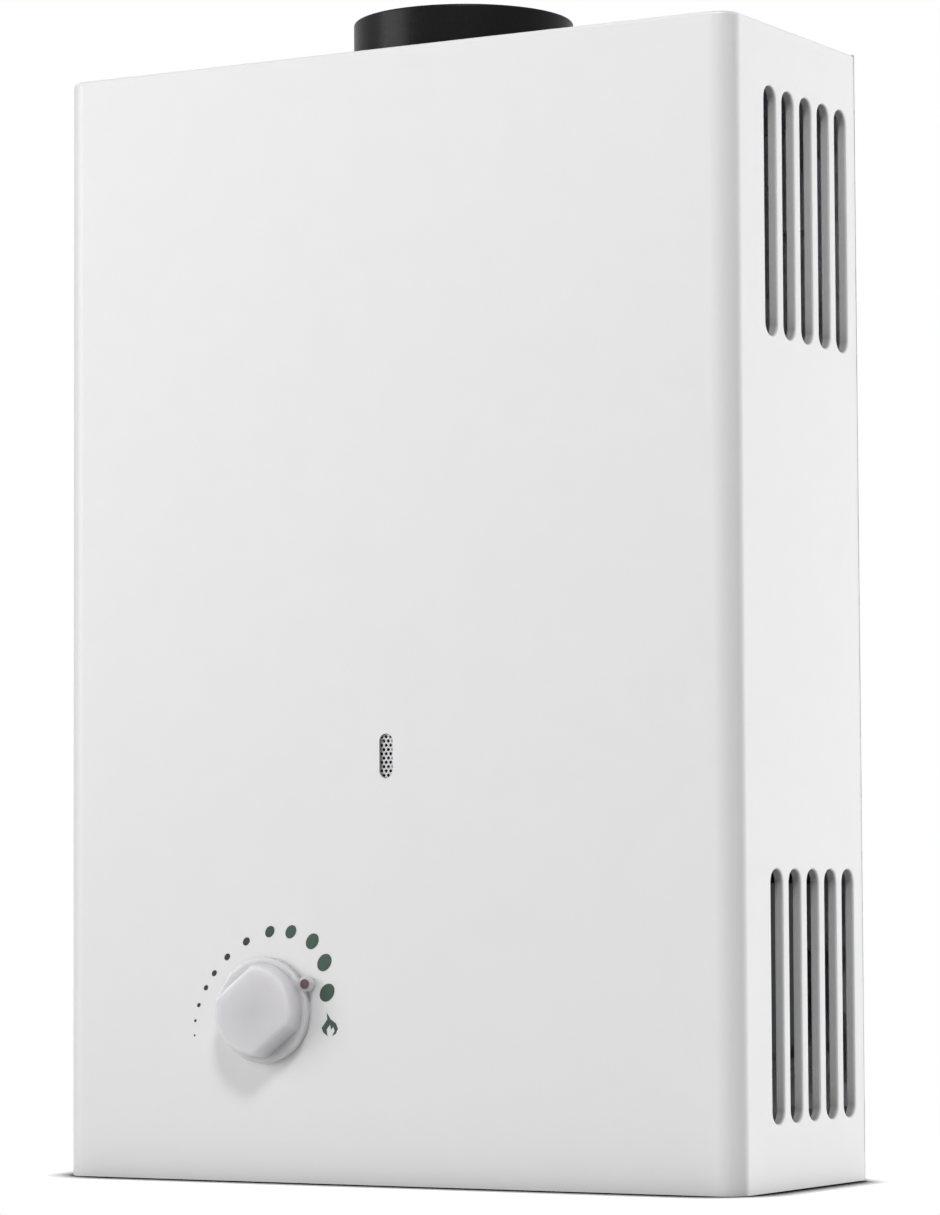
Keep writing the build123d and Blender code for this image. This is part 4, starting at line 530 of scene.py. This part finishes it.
def turned(profile, steps=48):
    """Spins the outline of half a section, given by radius and height, round the Z axis."""
    part = bmesh.new()
    points = [part.verts.new((r, 0, z)) for r, z in profile]
    lines = [part.edges.new((a, b)) for a, b in zip(points, points[1:] + points[:1])]
    bmesh.ops.spin(
        part, geom=points + lines, cent=(0, 0, 0), axis=(0, 0, 1), dvec=(0, 0, 0),
        angle=2 * math.pi, steps=steps, use_merge=True, use_duplicate=False,
    )
    seam, speck = 0.000002, 1e-14
    bmesh.ops.remove_doubles(part, verts=part.verts, dist=seam)
    loose = [f for f in part.faces if f.calc_area() < speck]
    bmesh.ops.delete(part, geom=loose, context="FACES_ONLY")
    bmesh.ops.recalc_face_normals(part, faces=part.faces)
    return part


def cross_screw(head, thick, shank, length):
    """A screw that points down from Z 0, with a rounded head above it and a cross recess."""
    flat, edge, taper = 0.45, 0.4, 0.0008
    curve = [math.radians(a) for a in range(90, -1, -15)]
    dome = [
        (head * (flat + (1 - flat) * math.cos(a)), thick * (edge + (1 - edge) * math.sin(a))) for a in curve
    ]
    point = [(shank, taper - length), (0.6 * shank, -length), (0, -length)]
    body = turned([(0, thick)] + dome + [(head, 0.0), (shank, 0.0)] + point, 32)
    arm, wide, deep = 0.52 * head, 0.11 * head, (0.35 * thick, 2 * thick)
    return cut(body, [
        bar((-arm, arm), (-wide, wide), deep),
        bar((-wide, wide), (-arm, arm), deep),
    ])


def screw_set(name, sizes, places, material, stands_for):
    """The same screw at each place, as one piece."""
    all_screws = bmesh.new()
    for place in places:
        add(all_screws, cross_screw(*sizes), place)
    return fit(name, all_screws, [material], "heater", stands_for, 40)


zinc_plate = surface(
    "zinc_plate", (0.66, 0.67, 0.69), 0.26, 1.0, grain=0.0006, depth=0.000002, vary=0.05, sweep=0.08
)
over = Matrix.Rotation(math.pi, 4, "X")
corners = [(x, pan_y) for x in (-pan_x, pan_x)]
screw_places = [
    Matrix.Translation((x, y, height)) @ Matrix.Rotation(upper_turn[0] + upper_turn[1] * x, 4, "Z")
    for x, y in corners
]
screw_places += [
    Matrix.Translation((x, y, lip_low)) @ over @ Matrix.Rotation(lower_turn[0] + lower_turn[1] * x, 4, "Z")
    for x, y in corners
]
screw_set("casing_screws", (pan_radius, pan_height, pan_shank, pan_length), screw_places, zinc_plate,
          "cover_screws")

# The flue collar is pressed from 0.8 mm steel: a flat flange on the casing's top, a straight
# neck, and a rim rolled inwards. It is enamelled in gloss black and slips into the duct.
neck, neck_wall, neck_low, neck_top = 0.044, 0.0008, 0.425, 0.4593
roll, flange_half, flange_thick, flange_round, wall_gap = 0.0009, 0.054, 0.001, 0.0004, 0.001
black_enamel = surface(
    "black_enamel", (0.006, 0.006, 0.006), 0.3, grain=0.0016, depth=0.000006, vary=0.15, sweep=0.05
)
black_enamel.node_tree.nodes["Principled BSDF"].inputs["Specular IOR Level"].default_value = 0.14
curl = [math.radians(a) for a in range(200, -1, -20)]
section = [(neck, neck_low), (neck - neck_wall, neck_low), (neck - neck_wall, neck_top - 2.2 * roll)]
section += [(neck - roll + roll * math.cos(a), neck_top - roll + roll * math.sin(a)) for a in curl]
collar = turned(section, 96)
flange = bmesh.new()
loops = []
for reach in (flange_half, neck):
    ring = bmesh.ops.create_circle(flange, cap_ends=False, segments=96, radius=reach)["verts"]
    loops.append(ring_edges(ring))
    if reach == flange_half:
        rear = [v for v in ring if v.co.y > hair]
        bmesh.ops.scale(flange, verts=rear, vec=(1, 0, 1))
        bmesh.ops.translate(flange, verts=rear, vec=(0, -wall_gap - flue_y, 0))
bmesh.ops.bridge_loops(flange, edges=loops[0] + loops[1])
extruded(flange, flange_thick)
bmesh.ops.recalc_face_normals(flange, faces=flange.faces)
outline = [
    e for e in flange.edges
    if all(v.co.z > flange_thick / 2 for v in e.verts) and e.calc_face_angle(0) > 1.0
    and all(math.hypot(v.co.x, v.co.y) > neck + 0.001 for v in e.verts)
]
rounded(flange, outline, flange_round, steps=3)
add(collar, flange, Matrix.Translation((0, 0, height)))
bmesh.ops.translate(collar, verts=collar.verts, vec=(0, flue_y, 0))
fit("collar_rolled", collar, [black_enamel], "heater", "flue_collar", 40)


def coat(names, material):
    """Gives nodes whose shape is right as it is their finish."""
    for name in names:
        nodes[name].data.materials.clear()
        nodes[name].data.materials.append(material)


# The draft hood gathers the flue gas above the fins. It is folded from aluminised steel, is
# screwed to the chamber's flange by six small screws, and its neck stands inside the collar.
hood_sheet = surface(
    "hood_sheet", (0.55, 0.56, 0.57), 0.36, 1.0, grain=0.0022, depth=0.000003, vary=0.1, sweep=0.1,
    run=(1, 1, 0.25), edge=0.0004,
)
coat(["draft_hood"], hood_sheet)
hood_screw_x, hood_screw_y, hood_screw_z = 0.043, 0.0385, 0.3348
rows = [
    (x, flue_y + side * hood_screw_y) for x in (-hood_screw_x, 0.0, hood_screw_x) for side in (-1, 1)
]
hood_places = [
    Matrix.Translation((x, y, hood_screw_z)) @ Matrix.Rotation(31 * x + y, 4, "Z") for x, y in rows
]
screw_set("hood_flange_screws", (0.003, 0.0014, 0.0015, 0.005), hood_places, zinc_plate,
          "hood_screws")

# The combustion chamber is a shell of 0.8 mm copper round the flames, seamed and flanged at its
# top. The flames have tinted it from brown at the burner to bright copper below the hood.


def tinted(name, colour, low, high, burnt, blued, rough=0.34):
    """Copper or steel that heat has tinted from one height to another, in soft clouds."""
    cloud_scale, cloud_share, blued_place = 45.0, 0.5, 0.45
    material = surface(
        name, colour, rough, 1.0, grain=0.0028, depth=0.000004, vary=0.12, sweep=0.1, edge=0.0004
    )
    net = material.node_tree
    where = net.nodes.new("ShaderNodeTexCoord")
    axes = net.nodes.new("ShaderNodeSeparateXYZ")
    net.links.new(where.outputs["Object"], axes.inputs[0])
    cloud = noise(net, where.outputs["Object"], cloud_scale, detail=5.0)
    rise = ranged(net, axes.outputs["Z"], low, high)
    uneven = reckoned(net, "MULTIPLY_ADD", cloud, cloud_share, -cloud_share / 2)
    heat = net.nodes.new("ShaderNodeValToRGB")
    heat.color_ramp.elements[0].color = list(burnt) + [1]
    heat.color_ramp.elements[1].color = (1, 1, 1, 1)
    middle = heat.color_ramp.elements.new(blued_place)
    middle.color = list(blued) + [1]
    net.links.new(reckoned(net, "ADD", rise, uneven), heat.inputs["Fac"])
    mixed = blended(net, 1.0, net.nodes["tone"].outputs["Color"], heat.outputs["Color"], "MULTIPLY")
    net.links.new(mixed, net.nodes["Principled BSDF"].inputs["Base Color"])
    return material


chamber_copper = tinted(
    "chamber_copper", (0.80, 0.37, 0.22), low=0.150, high=0.300, burnt=(0.3, 0.25, 0.28),
    blued=(0.6, 0.48, 0.62),
)
coat(["combustion_chamber"], chamber_copper)
bracket_zinc = spangled("bracket_zinc", (0.58, 0.60, 0.62), 0.4, 0.006, edge=0.0004)
coat(["chamber_brackets"], bracket_zinc)

# Thirty-one thin copper fins are pressed on a tube that runs three times through them. The tube
# is drawn copper, bent hard at its turns and brazed to the pipes through a reducer at each end.
coat(["exchanger_fins"], tinted(
    "fin_copper", (0.78, 0.38, 0.24), low=0.288, high=0.330, burnt=(0.4, 0.33, 0.35),
    blued=(0.75, 0.6, 0.66), rough=0.42,
))
drawn_copper = surface(
    "drawn_copper", (0.80, 0.38, 0.23), 0.24, 1.0, grain=0.0016, depth=0.000003, vary=0.14, sweep=0.09
)
coat(["exchanger_tubes"], drawn_copper)

# The cold pipe climbs from the water valve, goes twice round the chamber and feeds the tube,
# and the hot pipe comes down to its outlet. Both are soft drawn copper, dulled by handling.
pipe_copper = surface(
    "pipe_copper", (0.74, 0.34, 0.20), 0.32, 1.0, grain=0.003, depth=0.000004, vary=0.2, sweep=0.12
)
coat(["coil_pipe", "hot_pipe"], pipe_copper)
turned_brass_x = surface(
    "brass_turned_across", (0.78, 0.60, 0.28), 0.26, 1.0, grain=0.0007, depth=0.000004, vary=0.06, sweep=0.1,
    run=(1, 0.04, 0.04), edge=0.0003,
)
coat(["pipe_union"], turned_brass_x)

# The burner is a row of pressed stainless blades, each a venturi tube below a slotted head,
# held in a folded stainless frame. Heat has left straw and blue tints on the heads.
coat(["burner_blades"], tinted(
    "blade_steel", (0.60, 0.59, 0.57), low=0.160, high=0.128, burnt=(0.55, 0.42, 0.3),
    blued=(0.72, 0.7, 0.85), rough=0.3,
))
frame_steel = surface(
    "frame_steel", (0.58, 0.58, 0.58), 0.3, 1.0, grain=0.0009, depth=0.000003, vary=0.08, sweep=0.1,
    run=(0.06, 0.06, 1), edge=0.0004,
)
coat(["burner_frame"], frame_steel)

# The gas bar is die cast in aluminium alloy, with a brass jet for each blade. It hangs on the
# burner frame by two galvanised straps and sits on a fibre gasket.
die_casting = surface(
    "die_casting", (0.56, 0.57, 0.58), 0.46, 0.95, grain=0.0009, depth=0.00004, vary=0.1, sweep=0.12,
    edge=0.0006,
)
coat(["burner_manifold"], die_casting)
coat(["manifold_brackets"], spangled("strap_zinc", (0.58, 0.60, 0.62), 0.4, 0.005, edge=0.0004))
turned_brass_y = surface(
    "brass_turned_endwise", (0.80, 0.62, 0.29), 0.24, 1.0, grain=0.0007, depth=0.000004, vary=0.06, sweep=0.1,
    run=(0.04, 1, 0.04), edge=0.0003,
)
coat(["gas_jets"], turned_brass_y)
coat(["manifold_gasket"], surface(
    "pressed_fibre", (0.13, 0.24, 0.21), 0.85, grain=0.0005, depth=0.00006, vary=0.25
))

# The gas valve is die cast as well: a barrel with a regulator, a riser to the gas bar and a
# three-legged yoke to the water valve. A brass cap closes its end and a folded strap carries it.
valve_casting = surface(
    "valve_casting", (0.53, 0.54, 0.55), 0.5, 0.95, grain=0.001, depth=0.00005, vary=0.12, sweep=0.12,
    edge=0.0008,
)
coat(["gas_valve_body"], valve_casting)
coat(["valve_bracket"], bracket_zinc)
coat(["valve_end_cap"], turned_brass_x)

# Behind the knob a turned brass bonnet guides a steel spindle into the brass plug that meters
# the gas. All three are lathe work, with the tool's fine rings left on them.
coat(["valve_bonnet", "regulating_plug"], turned_brass_y)
turned_steel_y = surface(
    "steel_turned_endwise", (0.62, 0.62, 0.63), 0.22, 1.0, grain=0.0006, depth=0.000003, vary=0.05,
    sweep=0.08, run=(0.04, 1, 0.04), edge=0.0002,
)
coat(["gas_spindle"], turned_steel_y)

# Two springs of bright wire close the gas: one behind the rubber disc, one behind the plunger of
# the solenoid. In the valve one end of each stands still as the coil shortens; here each coil is only
# given a mesh of its own, and is not made to shorten.
spring_wire = surface("spring_wire", (0.56, 0.56, 0.58), 0.24, 1.0, grain=0.0005, depth=0.000003, vary=0.1)
for node, name, metal, joint, along, still_end, travel in (
    ("gas_valve_spring", "valve_coil", "gas_spring_steel", "water_link_slide", 0, -0.0844, 0.0035),
    ("solenoid_spring", "solenoid_coil", "solenoid_spring_steel", "plunger_slide", 1, -0.0081, 0.003),
):
    wire = bmesh.new()
    wire.from_mesh(nodes[node].data)
    bmesh.ops.remove_doubles(wire, verts=wire.verts, dist=0.000001)
    coil = fit(name, wire, [spring_wire], "heater", node)
    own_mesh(coil)

# Inside the gas barrel a rubber disc is pressed on its seat by a spring, and a ground steel rod
# from the water side pushes it open.
rubber = surface(
    "moulded_rubber", (0.022, 0.022, 0.023), 0.62, grain=0.0007, depth=0.00003, vary=0.2, edge=0.0003
)
coat(["gas_valve_disc"], rubber)
coat(["push_rod"], surface(
    "ground_steel", (0.64, 0.64, 0.65), 0.16, 1.0, grain=0.0005, vary=0.03, sweep=0.06, run=(1, 0.05, 0.05),
    edge=0.0002,
))

# The water valve is two brass forgings clamped on a rubber diaphragm by six screws, with a
# moulded plate inside. The forgings are rough from the die, and machined on their flanges.
forged_brass = surface(
    "forged_brass", (0.72, 0.54, 0.25), 0.4, 1.0, grain=0.0013, depth=0.00004, vary=0.16, sweep=0.12,
    edge=0.0006,
)
coat(["water_valve_cover", "water_valve_body"], forged_brass)
coat(["diaphragm"], rubber)
coat(["diaphragm_plate"], surface(
    "plate_plastic", (0.76, 0.74, 0.66), 0.4, grain=0.0006, depth=0.000008, edge=0.0003
))
valve_y, valve_face_x, valve_screw_circle, valve_screw_count = -0.052, -0.0135, 0.0265, 6
valve_axis = Matrix.Translation((0, valve_y, knob_z))
sideways = Matrix.Rotation(-math.pi / 2, 4, "Y")
valve_places = [
    valve_axis @ Matrix.Rotation(math.radians(360 / valve_screw_count * step), 4, "X")
    @ Matrix.Translation((valve_face_x, valve_screw_circle, 0)) @ sideways
    for step in range(valve_screw_count)
]
screw_set("valve_flange_screws", (0.0032, 0.0026, 0.002, 0.0284), valve_places, zinc_plate,
          "valve_screws")

# The drain plug is moulded in blue plastic: a screw below the water valve with a winged head,
# opened by hand to empty the heater before a frost. The strainer sits in the cold inlet above.
coat(["drain_plug"], surface(
    "blue_plastic", (0.025, 0.10, 0.36), 0.34, grain=0.0006, depth=0.000008, edge=0.0007
))
coat(["inlet_filter"], surface(
    "strainer_plastic", (0.72, 0.72, 0.68), 0.4, grain=0.0006, depth=0.000006, edge=0.0002
))

# A lever of bright strip presses the microswitch when the diaphragm lifts. The switch is a small
# black moulding with its button on top.
coat(["microswitch"], surface(
    "switch_plastic", (0.022, 0.022, 0.024), 0.4, grain=0.0006, depth=0.00001, edge=0.0003
))
coat(["switch_lever"], surface("spring_strip", (0.60, 0.60, 0.61), 0.24, 1.0, grain=0.0008, depth=0.000002))

# The safety solenoid is a turned steel can, nickel plated, on a boss at the back of the gas
# barrel. Its plunger is turned steel, with the disc that closes the gas at its tip.
coat(["solenoid_can"], surface(
    "nickel_plate", (0.62, 0.60, 0.56), 0.2, 1.0, grain=0.0012, depth=0.000003, vary=0.06, sweep=0.07,
    edge=0.0005,
))
coat(["solenoid_plunger"], turned_steel_y)

# Three brass stubs stand in the casing's open underside, for gas, cold and hot water. Each has a
# cut pipe thread, G 1/2, under a hexagon that a spanner holds, and a turned end above.
thread_radius, thread_core, thread_pitch = 0.01048, 0.00932, 0.001814
thread_low, thread_high, relief_radius = 0.002, 0.0138, 0.010
hex_low, hex_high, hex_across, hex_round = 0.0155, 0.023, 0.024, 0.0005
pipe_wall, chamfer, step_up = 0.0026, 0.0006, 0.0004
crest_share, root_share, root_sunk = 0.16, 0.94, 0.0002
spigot, spigot_bore, spigot_root, spigot_top = 0.009, 0.0065, 0.0085, 0.036
socket_edge, socket_bore, socket_root, socket_floor, stop_bore = 0.0068, 0.00505, 0.0066, 0.019, 0.0045
gas_x, cold_x, hot_x, hot_y = -0.0725, 0.034, -0.118, -0.050


def threaded_stub(x, y, above):
    """One stub: above gives the section over the hexagon from its outside round to its bore."""
    low, high, core = thread_low, thread_high, thread_core
    bore = core - pipe_wall
    body = turned([
        (core - chamfer, low), (core, low + chamfer), (core, high), (relief_radius, high + step_up),
        (relief_radius, hex_low + step_up), (bore, hex_low + step_up), (bore, low + chamfer),
        (bore + chamfer, low),
    ], 64)
    turns = (high - low - 2.1 * thread_pitch) / thread_pitch
    half = thread_pitch / 2
    ridge = bmesh.new()
    points = [
        ridge.verts.new((r, 0, low + 1.05 * thread_pitch + z))
        for r, z in (
            (core - root_sunk, -root_share * half), (thread_radius, -crest_share * half),
            (thread_radius, crest_share * half), (core - root_sunk, root_share * half),
        )
    ]
    lines = [ridge.edges.new((p, q)) for p, q in zip(points, points[1:] + points[:1])]
    steps = int(40 * turns)
    bmesh.ops.spin(
        ridge, geom=points + lines, cent=(0, 0, 0), axis=(0, 0, 1),
        dvec=(0, 0, thread_pitch * turns / steps), angle=2 * math.pi * turns, steps=steps,
        use_merge=False, use_duplicate=False,
    )
    bmesh.ops.holes_fill(ridge, edges=[e for e in ridge.edges if e.is_boundary])
    bmesh.ops.recalc_face_normals(ridge, faces=ridge.faces)
    add(body, ridge)
    nut = bmesh.new()
    bmesh.ops.create_circle(
        nut, cap_ends=True, segments=6, radius=hex_across / 2 / math.cos(math.pi / 6),
        matrix=Matrix.Translation((0, 0, hex_low)),
    )
    extruded(nut, hex_high - hex_low)
    rounded(nut, nut.edges[:], hex_round, steps=2)
    bmesh.ops.recalc_face_normals(nut, faces=nut.faces)
    drill_low, drill_high = hex_low - 0.002, hex_high + 0.002
    drill = turned([(0, drill_low), (bore, drill_low), (bore, drill_high), (0, drill_high)], 48)
    add(body, cut(nut, [drill]))
    add(body, turned(above, 64))
    bmesh.ops.translate(body, verts=body.verts, vec=(x, y, 0))
    return body


nipple = [
    (spigot, hex_high), (spigot, spigot_top - chamfer), (spigot - chamfer, spigot_top),
    (spigot_bore, spigot_top), (spigot_bore, hex_high - 0.001), (spigot_root, hex_high - 0.001),
]
socket = [
    (socket_edge, hex_high - 0.001), (socket_edge, hex_high + 0.0002),
    (socket_edge - step_up, hex_high + chamfer), (socket_bore, hex_high + chamfer),
    (socket_bore, socket_floor), (stop_bore, socket_floor), (stop_bore, socket_floor - 0.0005),
    (socket_root, socket_floor - 0.0005),
]
stub_brass = surface(
    "stub_brass", (0.80, 0.62, 0.30), 0.24, 1.0, grain=0.0007, depth=0.000004, vary=0.06, sweep=0.1,
    run=(1, 1, 0.1),
)
gas_stub = threaded_stub(gas_x, valve_y, nipple)
fit("gas_stub", gas_stub, [stub_brass], "heater", "gas_inlet")
cold_stub = threaded_stub(cold_x, valve_y, nipple)
fit("cold_stub", cold_stub, [stub_brass], "heater", "cold_inlet")
hot_stub = threaded_stub(hot_x, hot_y, socket)
fit("hot_stub", hot_stub, [stub_brass], "heater", "hot_outlet")
coat(["connection_bracket"], bracket_zinc)

# The battery case stands inside the casing, low on the right. Case and door are moulded in dark
# grey plastic. The door closes it from below, and hinges on a steel pin along its right edge.
case_plastic = surface(
    "case_plastic", (0.045, 0.046, 0.048), 0.5, grain=0.0006, depth=0.00002, vary=0.08, edge=0.0006
)
coat(["battery_case"], case_plastic)
coat(["door_pin"], turned_steel_y)
cell_jacket = surface("cell_jacket", (0.05, 0.05, 0.055), 0.28, 0.3, grain=0.002, vary=0.05)
coat(["battery_cells"], cell_jacket)
coat(["battery_contacts"], spring_wire)
coat(["battery_door"], case_plastic)

# The igniter is a potted module in a black case with a lead to its electrode. The electrodes
# are steel rods in glazed ceramic on a small steel plate, and the leads have silicone jackets.
coat(["igniter_box"], surface(
    "igniter_plastic", (0.03, 0.03, 0.032), 0.42, grain=0.0007, depth=0.00002, edge=0.0008
))
coat(["ignition_electrode", "flame_sensor"], surface(
    "glazed_ceramic", (0.82, 0.80, 0.75), 0.14, grain=0.0009, depth=0.000004, vary=0.03, edge=0.0003
))
coat(["ignition_lead"], surface(
    "silicone_jacket", (0.45, 0.08, 0.05), 0.5, grain=0.0008, depth=0.00001, vary=0.08
))
coat(["overheat_thermostat"], surface(
    "thermostat_body", (0.10, 0.055, 0.03), 0.35, grain=0.0006, edge=0.0003
))

# Behind the sight window, through which the flames are watched, stands a small guard of pierced
# stainless sheet, welded to the casing by its two feet.
coat(["sight_guard"], surface(
    "guard_steel", (0.38, 0.38, 0.39), 0.42, 1.0, grain=0.0006, depth=0.000003, vary=0.06, sweep=0.08,
    edge=0.0001,
))

# The gas knob is moulded in one piece, a skirt under a cap with two flats for the fingers, in a
# satin grey plastic with a faint lilac cast that lets some light in. It is pushed on the spindle.
knob_grey = surface(
    "knob_grey", (0.66, 0.65, 0.675), 0.46, grain=0.0007, depth=0.000005, vary=0.02, sweep=0.06,
    edge=0.0007,
)
plastic = knob_grey.node_tree.nodes["Principled BSDF"]
plastic.inputs["Subsurface Weight"].default_value = 1.0
plastic.inputs["Subsurface Radius"].default_value = (1, 1, 1)
plastic.inputs["Subsurface Scale"].default_value = 0.012
coat(["gas_knob"], knob_grey)

# The pointer is a small dot of dark red enamel, set in a shallow hollow in the skirt's lobe. It
# turns with the knob and stands against the dial's marks.
coat(["knob_pointer"], surface(
    "pointer_enamel", (0.10, 0.04, 0.046), 0.3, grain=0.0003, vary=0.08, edge=0.0002
))

# The dial's marks are screen printed on the casing in dark green ink, laid on more heavily at
# the small dots, which look black: dots that grow round the knob, and a flame after the last.
dots_end_x, marks_start_x = -0.066, -0.044
dial_ink = surface("dial_ink", (0.026, 0.066, 0.041), 0.5, grain=0.0003, vary=0.12)
ink = dial_ink.node_tree
across_dial = ink.nodes.new("ShaderNodeTexCoord")
ink_x = ink.nodes.new("ShaderNodeSeparateXYZ")
ink.links.new(across_dial.outputs["Object"], ink_x.inputs[0])
laid = ranged(ink, ink_x.outputs["X"], dots_end_x, marks_start_x)
dots = blended(ink, laid, (0.001, 0.002, 0.0015, 1), ink.nodes["tone"].outputs["Color"])
ink.links.new(dots, ink.nodes["Principled BSDF"].inputs["Base Color"])
coat(["dial_marks"], dial_ink)

# Five thin leads with silicone jackets join the igniter box to the flame sensor, the batteries,
# the solenoid, the switch and the thermostat. They are kept off the hot chamber.
coat(["control_leads"], surface(
    "lead_jacket", (0.70, 0.62, 0.48), 0.5, grain=0.0008, depth=0.00001, vary=0.08
))
